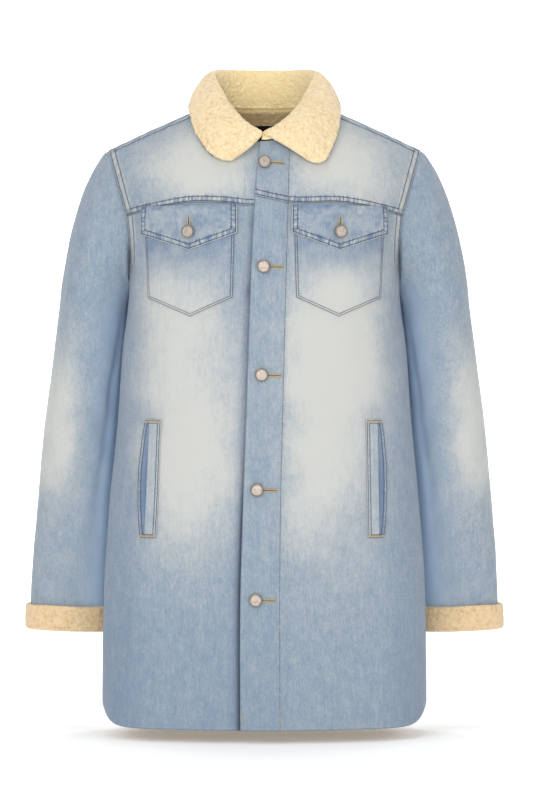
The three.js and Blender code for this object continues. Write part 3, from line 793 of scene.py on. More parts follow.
def stitchMesh(path, normals, pitch=3.3, length=2.5, radius=0.42, lift=0.1):
    # short rounded stitches, end to end along a path
    step = np.linalg.norm(np.diff(path, axis=0), axis=1)
    length0 = np.concatenate([[0], np.cumsum(step)])
    count = int(length0[-1] // pitch)
    if count < 1:
        return np.zeros((0, 3)), np.zeros((0, 4), int)
    at = (np.arange(count) + 0.5) * length0[-1] / count

    def sampled(values, where):
        return np.stack([np.interp(where, length0, values[:, i]) for i in range(3)], axis=-1)

    ahead = unit(sampled(path, at + 0.6) - sampled(path, at - 0.6))
    up = unit(sampled(normals, at))
    side = unit(np.cross(ahead, up))
    station = np.array([-0.5, -0.32, 0.0, 0.32, 0.5])
    girth = np.array([0.35, 0.95, 1.1, 0.95, 0.35])
    sink = np.array([-0.9, -0.15, 0.1, -0.15, -0.9])
    turn = np.radians(np.arange(5) * 72)
    wobble = 1 + 0.12 * (random.random(count) - 0.5)
    centre = (sampled(path, at)[:, None, :]
              + ahead[:, None, :] * (station[None, :, None] * (length * wobble)[:, None, None])
              + up[:, None, :] * (lift + sink[None, :, None] * radius))
    ring = (up[:, None, None, :] * np.cos(turn)[None, None, :, None]
            + side[:, None, None, :] * np.sin(turn)[None, None, :, None])
    points = centre[:, :, None, :] + ring * (girth * radius)[None, :, None, None]
    index = np.arange(count * 25).reshape(count, 5, 5)
    following = np.roll(index, -1, axis=2)
    faces = np.stack([index[:, :-1], following[:, :-1], following[:, 1:], index[:, 1:]], axis=-1)
    return points.reshape(-1, 3), faces.reshape(-1, 4)


def sew(parts, path, normals, keep=slice(None), **settings):
    if len(path[keep]) > 2:
        parts.append(stitchMesh(path[keep], normals[keep], **settings))


def joined(name, parts):
    firsts = np.cumsum([0] + [len(points) for points, _ in parts])
    faces = [corners + first for (_, corners), first in zip(parts, firsts)]
    return addObject(name, meshFrom(name, np.concatenate([p for p, _ in parts]) * mm, faces))


# panels of the body
def columnsBetween(*spans):
    # places along a row, where each whole number is one of the cut's own columns
    parts = [np.linspace(k, k + 1, count, endpoint=False) for k, count in enumerate(spans)]
    return np.concatenate(parts + [[len(spans)]])


armholeRows = body["chestLine"] - body["armholeDrop"] * sine(np.linspace(0, 90, 56))
rowHeights = np.concatenate([armholeRows, np.linspace(armholeRows[-1], sideHem, 246)[1:]])
frontColumns = columnsBetween(22, 12, 90)


def frontAngles(rowZ, freeEdge):
    # free edge, both sides of the lap's step, and on to the armhole or the side seam
    side, step = edgeAngle(rowZ, "front"), angleAtX(lap["end"], rowZ)
    start, free = angleAtX(lap["start"], rowZ), angleAtX(freeEdge(rowZ), rowZ)
    t = frontColumns[None, :]
    return np.where(t < 1, lerp(free, start, t),
                    np.where(t < 2, lerp(start, step, t - 1), lerp(step, side, t - 2)))


def lowerFrontGrid(seam, freeEdge):
    rowZ = rowHeights[:, None]
    angle = frontAngles(rowZ, freeEdge)
    x = sectionX(angle, rowZ)
    v = (rowZ - rowZ[0]) / (sideHem - rowZ[0])
    z = lerp(along(seam, "x", "z", x) - 0.15, hemHeight(x, rowZ), v)
    upper = (z > body["chestLine"])[..., None]
    return np.where(upper, onFront(x, z, np.zeros(x.shape)), sectionPoint(angle, z, "front"))


def shoulderTop(k, forward, neckAcross):
    across = lerp(1, neckAcross, np.clip(k / 5, 0, 1))
    return across, shoulderSeamTurn(across, forward)


def yokeGrid(seam, freeEdge):
    chestRow = np.array([[float(body["chestLine"])]])
    angle = frontAngles(chestRow, freeEdge)[0]
    x = sectionX(angle, body["chestLine"])
    seamZ = np.maximum(along(seam, "x", "z", x), body["chestLine"]) + 0.15
    across, rise = placeOnUpper(x, seamZ)
    turn = 180 - np.degrees(np.arcsin(rise))
    k = np.where(frontColumns < 2, 11 - frontColumns, (3 - frontColumns) * 9)
    neckAcross = necklinePlace(neckPointAngle)[0]
    topAcross, topTurn = shoulderTop(k, body["seamForward"] + 0.45, neckAcross)
    endAngle = 180 - np.degrees(np.arcsin(freeEdge(np.array(-36.0)) / body["neckHalfWidth"]))
    neck = necklinePlace(lerp(neckPointAngle, endAngle, np.clip((k - 5) / 6, 0, 1)))
    onNeck = k > 5
    topAcross, topTurn = np.where(onNeck, neck[0], topAcross), np.where(onNeck, neck[1], topTurn)
    v = np.linspace(0, 1, 89)[:, None]
    return upperBody(lerp(topAcross, across, v), lerp(topTurn, turn, v))


def leftFreeEdge(z):
    return along(lapEdge, "z", "x", z)


def underFreeEdge(z):
    return np.full(np.shape(z), -float(lap["under"]))


def armholeBand(grid):
    # distance in from the armhole edge, down to where the sleeve hides it
    gap = grid[:, -1:, 0] - grid[..., 0]
    return np.where(grid[..., 2] < bandEnd, far, gap), measured(grid, 0)


def shoulderFall(grid):
    # the shoulder seam's twin rows fall below the shoulder line, less so at its tip
    across = placeOnUpper(grid[..., 0], grid[..., 2])[0]
    return (ridgeHeight(across) - grid[..., 2]) * lerp(0.7, 1.05, smoothStep(0.3, 1, across))


def frontPanel(name, seam, freeEdge, sign, isYoke):
    grid = yokeGrid(seam, freeEdge) if isYoke else lowerFrontGrid(seam, freeEdge)
    leftX, z = grid[..., 0], grid[..., 2]       # the right side is made on the left too
    x = leftX * sign
    freeGap, _, _, bottomGap = margins(grid)
    armGap, armPlace = armholeBand(grid)
    seams = [(armGap, armPlace)]
    if isYoke:
        onShoulder = frontColumns >= 3 - 5 / 9
        seams.append((np.where(onShoulder, shoulderFall(grid), far), freeGap + 300))
        seams.append((bottomGap, freeGap + 700))
    seamGap, place = nearestSeam(z.shape, seams)
    relief = frontRelief(x, z) + bandRaise(seamGap) + 0.35 * puckers(seamGap, place, 11)
    if sign > 0:
        relief = relief + lapLiftAt(leftX)
    # the loose edges of the wall are rolled over
    edgeGap = np.minimum(bottomGap, freeGap)
    outer = raised(grid, relief - 0.8 * (1 - smoothStep(0, 1.8, edgeGap)))
    facingX = along(facingLine, "z", "x", z) if sign > 0 else lap["rightFacing"]
    line = np.abs(leftX - facingX)
    fade = 0.10 + bleached(yokePatches if isYoke else frontPatches, x, z)
    if sign > 0:
        fade = fade * lerp(0.35, 1.0, smoothStep(facingX - 3, facingX + 6, leftX)) + 0.07
    # a deeper blue beside the arm and down the side, and above the hem
    deep = 0.16 * smoothStep(150, 195, np.abs(x)) * smoothStep(-140, -240, z)
    deep = deep + 0.10 * smoothStep(-620, -760, z)
    deep = deep + 0.25 * bump(edgeGap, 0, 1.5) - 0.12 * bump(edgeGap, 2.6, 1.2)
    # the armhole band is rubbed paler and puckers less
    rubbedAndLit = (armGap < seamGap + 0.01) * smoothStep(12, 8, armGap)
    gather = (1.0 if isYoke else 0.45) * (1 - 0.6 * rubbedAndLit)
    shade = 0.75 * bump(grid[:, -1:, 0] - leftX, 0, 6) * bump(z, -202, 20)
    if sign < 0:
        line = np.where(z > -330, line, far)
        # shadow beside the lap's free edge, deepest in two places where the lap stands off,
        # and under the front edge of the collar's leaf
        beside = leftX + along(lapEdge, "z", "x", z)
        shade = shade + 0.40 * (1 - smoothStep(-2, 13, beside)) * smoothStep(-120, -190, z)
        shade = shade + 0.34 * bump(beside, 3, 4) * (bump(z, -247, 13) + 0.8 * bump(z, -150, 16))
        shade = shade + 0.6 * bump(beside, 0, 4) * smoothStep(-440, -580, z)
        under = z + 26 + (leftX - 7) * 0.8
        shade = shade + 0.7 * bump(under, -4, 4.5) * smoothStep(46, 36, leftX)
        # painted shade: a deeper blue beside the lap's free edge, in the lap's shadow
        deep = deep + 0.25 * (1 - smoothStep(0, 22, beside)) * smoothStep(-150, -215, z)
    fields = {"fade": fade + 0.5 * rubbedAndLit, "deep": deep, "seam": seamGap, "place": place,
              "line": line, "linePlace": z + sign * 500, "gather": gather,
              "shade": np.clip(shade, 0, 0.85)}
    fields, outer = asWorn(sign, fields, outer)
    frontStitches(outer, grid, sign, isYoke)
    denimPiece(name, outer, body["wall"], fields, lined=True)


def frontStitches(outer, grid, sign, isYoke):
    # the cloth is as worn here, so fields of the grid turn round on the right side
    normals = gridNormals(outer)
    armGap, bottom = armholeBand(grid)[0][:, ::sign], measured(grid, 0, fromEnd=True)[:, ::sign]
    for row in denimLook["rowGaps"]:
        path, up = crossing(outer, normals, armGap, row, 1, -sign)
        sew(threadParts, path, up, path[:, 2] > stitchEnd)
        if isYoke:
            sew(threadParts, *crossing(outer, normals, bottom, row, 0, -1))
            path, up = crossing(outer, normals, shoulderFall(grid)[:, ::sign], row)
            sew(threadParts, path, up, np.abs(path[:, 0]) > 71)
    if sign > 0:
        facing = grid[..., 0] - along(facingLine, "z", "x", grid[..., 2])
        sew(threadParts, *crossing(outer, normals, facing, 0.0, 1))


frontCut = {
    "front_left": (yokeSeamLeft, leftFreeEdge, 1, False),
    "front_right": (yokeSeamRight, underFreeEdge, -1, False),
    "yoke_front_left": (yokeSeamLeft, leftFreeEdge, 1, True),
    "yoke_front_right": (yokeSeamRight, underFreeEdge, -1, True),
}
for name, cut in frontCut.items():
    frontPanel(name, *cut)


# back
def backSurface(t, v):
    # t runs across from the wearer's left side seam to the right; v is 1 at the shoulder
    # seam and neckline and 0 on the chest line
    start = edgeAngle(np.array(float(body["chestLine"])), "back")
    low = sectionX(lerp(start, math.pi - start, t), body["chestLine"])
    edge = sectionX(start, body["chestLine"])
    k = t * 20
    folded = np.minimum(k, 20 - k)
    neckAcross = necklinePlace(neckPointAngle)[0]
    across, turn = shoulderTop(folded, body["seamForward"], neckAcross)
    across = np.where(k > 10, -across, across)
    neck = necklinePlace(lerp(neckPointAngle, -neckPointAngle, np.clip((k - 5) / 10, 0, 1)))
    onNeck = folded > 5
    across, turn = np.where(onNeck, neck[0], across), np.where(onNeck, neck[1], turn)
    return upperBody(lerp(low / edge, across, v), turn * v)


def backGrid():
    t = np.linspace(0, 1, 145)[None, :]
    upper = backSurface(t, np.linspace(1, 0, 85)[:-1, None])
    rowZ = np.concatenate([armholeRows[::2], np.linspace(armholeRows[-2], sideHem, 206)[1:]])
    rowZ = rowZ[:, None]
    start = edgeAngle(rowZ, "back")
    angle = lerp(start, math.pi - start, t)
    v = (rowZ - rowZ[0]) / (sideHem - rowZ[0])
    z = rowZ + (hemHeight(sectionX(angle, rowZ), rowZ) - sideHem) * v ** 3
    return np.concatenate([upper, sectionPoint(angle, z, "back")])


def backPanel():
    grid = backGrid()
    grid = grid[(len(grid) - 1) % 4:]       # whole strides of the coarser inner face
    x, z = grid[..., 0], grid[..., 2]
    leftGap, rightGap, down, _ = margins(grid)
    sideGap = np.minimum(leftGap, rightGap)
    slope = 1.35        # the armhole's edge runs aslant, so its gap is longer along the row
    armGap = np.where(z > -215, sideGap * slope, far)
    seamGap, place = nearestSeam(z.shape, [(armGap, down)])
    relief = foldHeight(backFolds, x, z) * smoothStep(-60, -200, z)
    relief = relief + clothDrift(grid, 0.8) * smoothStep(-30, -120, z)
    relief = relief + 1.6 * np.sin(x / 38 + 2.1) * smoothStep(-760, -845, z)
    relief = relief * smoothStep(0, 14, sideGap)
    relief = relief + bandRaise(seamGap) + 0.35 * puckers(seamGap, place, 12)
    outer = raised(grid, relief)
    sideSeam = np.where(z < -232, sideGap, far)
    deep = 0.10 * smoothStep(-620, -760, z) + 0.4 * bump(sideSeam, 0, 1.4)
    normals = gridNormals(outer)
    for row in denimLook["rowGaps"]:
        for turn, gap in ((1, leftGap), (-1, rightGap)):
            path, up = crossing(outer, normals, gap, row / slope, 1, turn)
            sew(threadParts, path, up, path[:, 2] > stitchEnd)
    denimPiece("back", outer, body["wall"],
               {"fade": 0.10 + bleached(backPatches, x, z), "deep": deep, "seam": seamGap,
                "place": place, "gather": 0.6}, lined=True)


backPanel()


# pile: domes crowded together, sunk where they meet
def pile(points, height, salt, size=4.6):
    coarse = np.clip(1 - (nearestNub(points, size, salt) / 0.92) ** 2, 0, 1)
    fine = np.clip(1 - (nearestNub(points, size * 0.5, salt + 7) / 0.9) ** 2, 0, 1)
    clump = 0.5 + 0.5 * softNoise(points, 13, salt + 9)
    rise = 0.62 * np.sqrt(coarse) + 0.26 * fine + 0.3 * clump
    # the second value marks the pits between domes, which painted shade darkens
    return height * (rise - 0.55), np.clip(0.85 - 0.8 * np.sqrt(coarse) - 0.25 * fine, 0, 1)


neckCut = {"liningDepth": 5.9, "labelDepth": 7.6, "labelHalfWidth": 16.5}


def neckLining():
    # the back's own form, seen from inside the neck
    t = np.linspace(0.7, 0.3, 141)[None, :]
    grid = backSurface(t, np.linspace(1, 0.44, 73)[:, None])
    normals = gridNormals(grid)
    inner = grid + normals * neckCut["liningDepth"]
    # the pile is pressed flat behind the label
    atLabel = (np.abs(grid[..., 0]) < 20) & (np.abs(grid[..., 2] + 18) < 14)
    rise, pitShade = pile(inner, np.where(atLabel, 0.3, 1.7), 51)
    # its top edge rolls over the back's edge and up to the foot of the collar
    roll = 1 - smoothStep(0, 9, measured(grid, 0))
    outer = inner + normals * (rise - 5.6 * roll ** 2)[..., None]
    outer[..., 2] += 2.6 * roll
    # the lining lies in the neck's shade, so all of it takes the painted-light cream
    pilePiece("back_neck_lining", outer, 3.0, {"pitShade": pitShade, "inner": 1.0}, grid + normals * 2.9)


def neckLabel():
    # two of the back's rows bound it from top to bottom
    v, t = np.linspace(0.81, 0.64, 25)[:, None], np.linspace(0.055, -0.055, 33)[None, :]
    scale = neckCut["labelHalfWidth"] / np.abs(backSurface(0.5 + t, v)[..., 0]).max()
    grid = backSurface(0.5 + t * scale, v)
    sag = 0.5 * bump(np.linspace(-1, 1, 25)[:, None], 0, 0.6)
    piece = cloth("neck_label", raised(grid, neckCut["labelDepth"] + sag), 0.8)
    finishPiece(piece, [labelCloth], "neck_label")


neckLining()
neckLabel()


# sleeves
ringAngles = np.linspace(360, 0, 128, endpoint=False)


def armhole(angle):
    # from the shoulder tip over the front, under the arm and up the back
    rise, forward = cosine(angle), sine(angle)
    upper = upperBody(1.0, np.where(forward >= 0, 90 + angle, angle - 270))
    z = body["chestLine"] + body["armholeDrop"] * rise
    y = -chestDepth(1.0, forward >= 0) * forward
    depth = np.where(forward >= 0, section(z, "front"), section(z, "back"))
    lower = stack(roundedDepth(y, depth, section(z, "halfWidth")), y, z)
    return np.where((rise >= 0)[..., None], upper, lower)


def sleeveRing(z, angle):
    x, y, halfX, halfY, tilt, lag = (
        along(sleeveSections, "z", column, z) for column in list(sleeveSections)[1:])
    outward = cosine(angle)
    back = lag * (1 - outward) / 2
    return stack(x + halfX * outward, y - halfY * sine(angle) + back, z + tilt * outward)


sleeveFolds = {
    # angle round the ring (0 outer, 90 front, 180 inner), height, length, width, depth, lean
    "angle": [141, 131, 60, 30, 20, 300, 250, 205, 330, 100, 75, 172, 118],
    "z": [-345, -470, -640, -560, -250, -400, -520, -440, -600, -655, -380, -250, -600],
    "length": [62, 90, 60, 70, 60, 90, 100, 110, 80, 50, 90, 90, 70],
    "width": [7, 8, 16, 18, 16, 20, 22, 18, 20, 16, 20, 30, 14],
    "depth": [2.8, 2.2, 1.6, 1.2, 1.2, 2.2, 2.4, 2.0, 1.6, 1.4, 1.0, -1.5, 1.6],
    "lean": [0.06, 0.04, 0.12, -0.10, 0.10, 0.10, -0.08, 0.03, 0.06, -0.15, 0.08, 0.0, 0.05],
}


def sleeveGrid():
    outer = (1 + cosine(ringAngles)) / 2
    startPull = stack(lerp(34, 122, outer), lerp(4, 0, outer), lerp(-26, -92, outer))
    endPull = stack(lerp(4, 20, outer), 12.0, lerp(-46, -150, outer))
    top, end = sleeveSections["z"][0], sleeveSections["z"][-1]
    start = armhole(ringAngles) + unit(startPull) * body["armholeGap"]
    t = np.linspace(0, 1, 75)[:-1, None, None]
    cap = hermite(start, sleeveRing(top, ringAngles), startPull, endPull, t)
    return np.concatenate([cap, sleeveRing(np.linspace(top, end, 183)[:, None], ringAngles)])


def sleeve(sign):
    grid = sleeveGrid()
    angle, x, z = ringAngles[None, :], grid[..., 0], grid[..., 2]
    _, _, down, toCuff = margins(grid)
    relief = foldHeight(sleeveFolds, angle, z, around=True)
    relief = relief * smoothStep(6, 40, down) * smoothStep(14, 60, toCuff)
    relief = relief + clothDrift(grid + 300 * sign, 0.9) * smoothStep(0, 20, down)
    relief = relief + 0.45 * np.sin(down / 11) * bump(angle, 120, 40) * bump(z, -430, 120)
    # the sleeve head rolls out of the armhole and swells just past it
    relief = relief + 1.4 * smoothStep(0, 7, down) * (1 - smoothStep(7, 26, down)) - 0.5
    outer = raised(grid, relief, True)
    # under the arm the sleeve lies against the side of the body
    outer[..., 0] -= 9 * bump(angle, 180, 34) * bump(z, -240, 17) * smoothStep(0, 7, down)
    fade = 0.08 + bleached(sleevePatches, x, z)
    fade = fade + 0.06 * bump(angle, 40, 50) * smoothStep(-600, -300, z)
    # painted light on the side towards the body, where the body shades the sleeve, and worn paler
    # down the forearm
    fade = fade + 0.22 * bump(angle, 138, 34) * bump(z, -430, 190)
    fade = fade + 0.14 * smoothStep(-440, -530, z)
    # painted shade: a touch of deeper blue down the inner side, which the body shades
    deep = 0.5 * bump(down, 0, 2.0) + 0.05 * bump(angle, 150, 26) * smoothStep(-150, -260, z)
    deep = deep + 0.04 * smoothStep(-520, -680, z)
    # the sleeve's own seam runs down behind the elbow and shows low on the outer side
    seamAngle = 344 - 10 * smoothStep(-300, -700, z)
    fields = {"fade": fade, "deep": deep, "seam": far, "place": down,
              "line": np.abs(np.radians(angle - seamAngle)) * 55, "linePlace": z, "gather": 0.5,
              "shade": 0.6 * bump(down, 0, 6) * bump(z, -196, 20) * bump(angle, 130, 50),
              # painted light: the inner side, in the body's shade, is brightened towards a paler
              # blue
              "rubbedAndLit": 0.95 * bump(angle, 152, 36) * smoothStep(-200, -300, z)}
    fields, outer = asWorn(sign, fields, outer)
    denimPiece(sideName("sleeve", sign), outer, body["wall"], fields, loop=True, lined=True)


# turned-back cuffs
cuffProfile = {
    # round the band's edge: distance out from the end of the sleeve and height above it
    "out": [0.4, 3.2, 5.6, 6.2, 6.2, 6.0, 4.4, 1.0, -1.8, -2.6, -2.6, -1.2, 0.3, 0.4],
    "up": [29.5, 31.5, 30, 24, 10, 0, -3.2, -4.6, -4.4, -3.4, -1.2, -0.4, -0.3, 8],
}


def cuff(sign):
    # band of pile turned up over the sleeve's end: a rounded profile round the tube
    count, around = 52, 272
    angle = np.linspace(360, 0, around, endpoint=False)
    end = sleeveSections["z"][-1]
    ring, above = sleeveRing(end, angle), sleeveRing(end + 37, angle)
    ahead = np.roll(ring, -1, axis=0) - np.roll(ring, 1, axis=0)
    level = unit(np.cross(np.array([0, 0, -1.0]), ahead))
    size = len(cuffProfile["out"])
    s = np.append(np.linspace(0, size, count, endpoint=False), 0)
    i = np.floor(s).astype(int)
    f = smoothStep(0, 1, s - i)
    out, up = (lerp(column[i], column[(i + 1) % size], f)[:, None]
               for column in map(np.array, cuffProfile.values()))
    share = np.maximum(up, 0) / (above - ring)[:, 2]
    grid = ring + (above - ring) * share[..., None] + level * out[..., None]
    grid[..., 2] += np.minimum(up, 0)
    rolled, pitShade = pile(grid, 1.5, 61 if sign > 0 else 71)
    outwards = level * (smoothStep(0.8, 2.2, out) * rolled)[..., None]
    sway = 1.1 * softNoise(grid, 26, 5) * (up > 20)
    fields, grid = asWorn(sign, {"pitShade": pitShade}, grid + outwards + stack(0, 0, sway))
    n = numbered(count, around, True)
    name = sideName("cuff", sign)
    mesh = meshFrom(name, grid[:-1].reshape(-1, 3) * mm, [quads(np.concatenate([n, n[:1]]))])
    addField(mesh, "pitShade", fields["pitShade"][:-1].ravel())
    finishPiece(addObject(name, mesh), [cuffPile], name)


for sign in (1, -1):
    sleeve(sign)
    cuff(sign)


# collar
collarRows = {
    "step": [-8, -7, -6, -5, -4, -3, -2, -1, 0, 1, 2, 3, 4, 5, 6, 7, 8],
    "rollX": [-3, -25, -46, -60, -69, -72, -60, -34, 0, 34, 60, 72, 69, 60, 46, 23, -2],
    "rollY": [-127, -113, -84, -52, -22, 10, 44, 68, 76, 68, 44, 10, -22, -52, -84, -114, -129],
    "rollZ": [-30, -15, 9, 34, 52, 65, 72, 73.5, 74, 73.5, 72, 65, 52, 34, 9, -15, -31],
    "edgeX": [-54, -78, -93, -100, -103.5, -100, -86, -47, 0,
              47, 86, 100, 103.5, 102.5, 98.5, 88.5, 75],
    "edgeTurn": [157, 147.5, 134, 119, 100, 77, 63, 52.7, 47.5,
                 52.7, 63, 77, 100, 119, 134, 148, 158],
    "swell": [3, 8, 9, 9, 8, 6, 4, 4, 4, 4, 4, 6, 8, 9, 9, 8, 3],
    "sag": [8, 3, 0, 0, 0, 0, 0, 0, 0, 0, 0, 0, 0, 0, 0, 0, -2],
}
# thicknesses and lifts, and the angles at which its two ends meet the fronts
collarCut = {"pile": 4.8, "denim": 1.5, "gap": 0.45, "leafLift": 8.4, "left": 183, "right": 172}


def roundedCorner(step, s):
    # the leaf's two corners, drawn in from a square to a quarter circle
    a, b = np.clip((np.abs(step) - 7.3) / 0.7, 0, 1), np.clip((s - 1.78) / 0.22, 0, 1)
    newA, newB = a * np.sqrt(1 - b * b / 2), b * np.sqrt(1 - a * a / 2)
    return step + np.sign(step) * (newA - a) * 0.7, s + (newB - b) * 0.22


def collarFace(step, s):
    # s runs up the stand from 0 to 1 and down the leaf from 1 to 2
    rollX, rollY, rollZ, edgeX, edgeTurn, swell, sag = (
        along(collarRows, "step", column, step) for column in list(collarRows)[1:])
    angle = step / 8 * np.where(step > 0, collarCut["left"], collarCut["right"])
    across, turn = necklinePlace(angle)
    seatX = across * upperWidth(sine(turn))
    lift = np.where((step > 0) & (turn > 90), lapLiftAt(seatX), 0)
    base = onUpper(seatX, turn, lift)
    base[..., 2] += 0.4 + 0.35 * lift
    crest = stack(rollX, rollY, rollZ)
    edge = onUpper(edgeX, edgeTurn, np.full(np.shape(step), collarCut["leafLift"]))
    radial = stack(sine(angle), cosine(angle), 0.0)
    rollPull = radial * lerp(24, 9, smoothStep(0.62, 1, np.abs(step) / 8))[..., None]
    standPull = stack(0.0, 0.0, np.maximum(crest[..., 2] - base[..., 2], 14))
    fall = edge - crest
    leafOut = unit(np.cross(stack(radial[..., 1], -radial[..., 0], 0.0), fall))
    stand = hermite(base, crest, standPull, rollPull, np.clip(s, 0, 1)[..., None])
    tLeaf = np.clip(s - 1, 0, 1)[..., None]
    arch = np.sin(math.pi * tLeaf)
    leaf = hermite(crest, edge, rollPull, fall * 0.9, tLeaf) + leafOut * swell[..., None] * arch
    leaf[..., 2] -= sag * arch[..., 0]
    return np.where((s < 1)[..., None], stand, leaf)


def collar():
    step = np.linspace(-8, 8, 433)[:, None]
    s = np.concatenate([np.linspace(0, 1, 50, endpoint=False), np.linspace(1, 2, 76)])[None, :]
    step, s = np.broadcast_arrays(step, s)
    grid = collarFace(*roundedCorner(step, s))
    normals = gridNormals(grid)
    # the pile rolls round the collar's outer edge and its two front edges
    _, leafGap, firstGap, lastGap = margins(grid)
    edgeGap = np.minimum(leafGap, np.minimum(firstGap, lastGap)) + np.where(s < 0.9, 12, 0)
    roundness = np.sqrt(np.clip(1 - (1 - np.clip(edgeGap / 4.0, 0, 1)) ** 2, 0, 1))
    rise, pitShade = pile(grid, 2.6, 81)
    rise = (roundness - 1) * 3.4 + rise * (0.35 + 0.65 * roundness)
    # curls overhang the edge unevenly
    reach = 0.5 + 1.2 * softNoise(grid, 4.5, 91) + 0.8 * softNoise(grid, 11, 92)
    reach = reach * bump(leafGap, 0, 4.5) * (s > 1)
    outer = grid + normals * rise[..., None] + unit(np.gradient(grid, axis=1)) * reach[..., None]
    # the stand and roll, which face into the neck's shade, take the painted-light cream
    pilePiece("collar", outer, collarCut["pile"], {"pitShade": pitShade, "inner": smoothStep(1.12, 0.8, s)},
              grid - normals * collarCut["pile"])


def underCollar():
    step, s = np.broadcast_arrays(np.linspace(-7.38, 7.38, 261)[:, None],
                                  np.linspace(1.46, 2.0, 29)[None, :])
    grid = collarFace(step, s)
    # cut a little longer than the pile at the edge, where its blue shows
    away = unit(np.gradient(grid, axis=1)) * (1.6 * smoothStep(1.8, 2.0, s))[..., None]
    outer = grid + away - gridNormals(grid) * (collarCut["pile"] + collarCut["gap"])
    _, leafGap, place, _ = margins(outer)
    denimPiece("under_collar", outer, collarCut["denim"],
               {"fade": 0.15, "deep": 0.35, "seam": leafGap + 3, "place": place,
                "gather": 0.4, "shade": 0.25})


collar()
underCollar()


# chest pockets, flaps and welts
pocketCut = {
    "top": -139, "cornerZ": -256, "tipZ": -282, "innerTop": 39, "outerTop": 164.5,
    "innerBottom": 42.5, "outerBottom": 159, "thickness": 1.2, "lift": 1.75,
}
flapCut = {
    "top": -130, "cornerZ": -168, "tipZ": -191, "inner": 37, "middle": 102, "outer": 166.5,
    "thickness": 1.4, "lift": 4.0,
}
weltCut = {
    "top": -422, "bottom": -584, "width": 22, "thickness": 1.6, "lift": 2.15,
    "left": (149, 152), "right": (151.5, 159), "bow": 6.0,
}


def pointed(t, cornerZ, tipZ):
    return lerp(cornerZ, tipZ, 1 - np.abs(2 * t - 1))


def sewnEdges(grid, scale=1.0, top=False):
    # the nearest sewn edge of a patch: its distance, and the place along it
    left, right, down, bottom = margins(grid)
    seams = [(left * scale, down), (right * scale, down + 200), (bottom * scale, left + 400)]
    if top:
        seams.append((down, left + 600))
    return nearestSeam(left.shape, seams)


def patchStitches(outer, normals, grid, rows, pitch=3.3):
    # round the two sides and the bottom, stopping where the rows meet
    left, right, _, bottom = margins(grid)
    for row in rows:
        for turn, gap in ((1, left), (-1, right)):
            path, up = crossing(outer, normals, gap, row, 1, turn)
            count = int(len(path) * (1 - row / bottom[0, 0]))
            sew(threadParts, path, up, slice(count), pitch=pitch)
        path, up = crossing(outer, normals, bottom, row, 0, -1)
        inset = max(1, int(len(path) * row / left[-1, -1]))
        sew(threadParts, path, up, slice(inset, -inset), pitch=pitch)


def patch(name, sign, cut, grid, rise, fields, rows, pitch=3.3):
    fields, outer, grid = asWorn(sign, fields, raised(grid, rise), grid)
    normals = gridNormals(outer)
    patchStitches(outer, normals, grid, rows, pitch)
    denimPiece(sideName(name, sign), outer, cut["thickness"], fields)
    return outer, normals


def patchGrid(x, z, sign, lift):
    # it follows the folds of the front that it is sewn to
    return onFront(x, z, frontRelief(x * sign, z) + lift)


def shares(columns, rows):
    return np.linspace(0, 1, columns)[None, :], np.linspace(0, 1, rows)[:, None]


def pocket(sign):
    u, v = shares(73, 81)
    z = lerp(pocketCut["top"], pointed(u, pocketCut["cornerZ"], pocketCut["tipZ"]), v)
    x = lerp(lerp(pocketCut["innerTop"], pocketCut["innerBottom"], v),
             lerp(pocketCut["outerTop"], pocketCut["outerBottom"], v), u)
    grid = patchGrid(x, z, sign, pocketCut["lift"])
    spread = 1.9        # its rows lie nearer the edge than the twin rows of a felled seam
    seamGap, place = sewnEdges(grid, spread)
    deep = 0.42 * smoothStep(-236, -170, z) * (0.75 + 0.5 * softNoise(grid, 17, 41 + sign))
    deep = deep + 0.12 * softNoise(grid, 9, 43) * smoothStep(-240, -180, z)
    # the sewn edges lie down and the middle stands off a little
    edgeGap = seamGap / spread
    rise = 0.5 * smoothStep(4, 16, edgeGap) - 0.5 * (1 - smoothStep(0, 1.6, edgeGap))
    rise = rise + 0.18 * puckers(seamGap, place, 14 + sign)
    rise = rise + 0.54 * bump(x, 122, 20) * bump(z, -232, 30)
    patch("pocket", sign, pocketCut, grid, rise,
          {"fade": 0.12 + bleached(frontPatches, x * sign, z) * 0.9, "deep": deep,
           "seam": seamGap, "place": place, "gather": 0.22}, (1.3, 4.4))


def flap(sign):
    u, v = shares(105, 53)
    z = lerp(flapCut["top"], pointed(u, flapCut["cornerZ"], flapCut["tipZ"]), v)
    x = lerp(flapCut["inner"], flapCut["outer"], u) + 0 * v
    grid = patchGrid(x, z, sign, flapCut["lift"])
    seamGap, place = sewnEdges(grid)
    # soft creases run up from the point and the button, and the edges curl forward
    rise = 0.5 * bandRaise(seamGap, 8.5, 1.0) + 0.45 * puckers(seamGap, place, 17 + sign)
    rise = rise - 1.1 * bump(x, flapCut["middle"], 7) * bump(z, -160, 12)
    crease = (x - flapCut["middle"]) * 0.55 + (z + 166)
    rise = rise + 0.6 * bump(crease, 6, 4) * smoothStep(95, 60, x)
    rise = rise + 0.9 * smoothStep(0.7, 1, v) * (0.6 + 0.6 * softNoise(grid, 21, 18 + sign))
    rise = rise + 0.7 * softNoise(grid, 13, 19 + sign) * smoothStep(4, 12, seamGap)
    deep = 0.16 + 0.32 * softNoise(grid, 12, 45 + sign) + 0.25 * softNoise(grid, 5, 46)
    deep = deep * smoothStep(7, 13, seamGap) + 0.3 * smoothStep(9, 2, measured(grid, 0)) - 0.1
    patch("flap", sign, flapCut, grid, rise,
          {"fade": 0.26 + 0.12 * softNoise(grid, 18, 47), "deep": np.clip(deep, 0, 1),
           "seam": seamGap, "place": place, "gather": 1.1}, denimLook["rowGaps"])


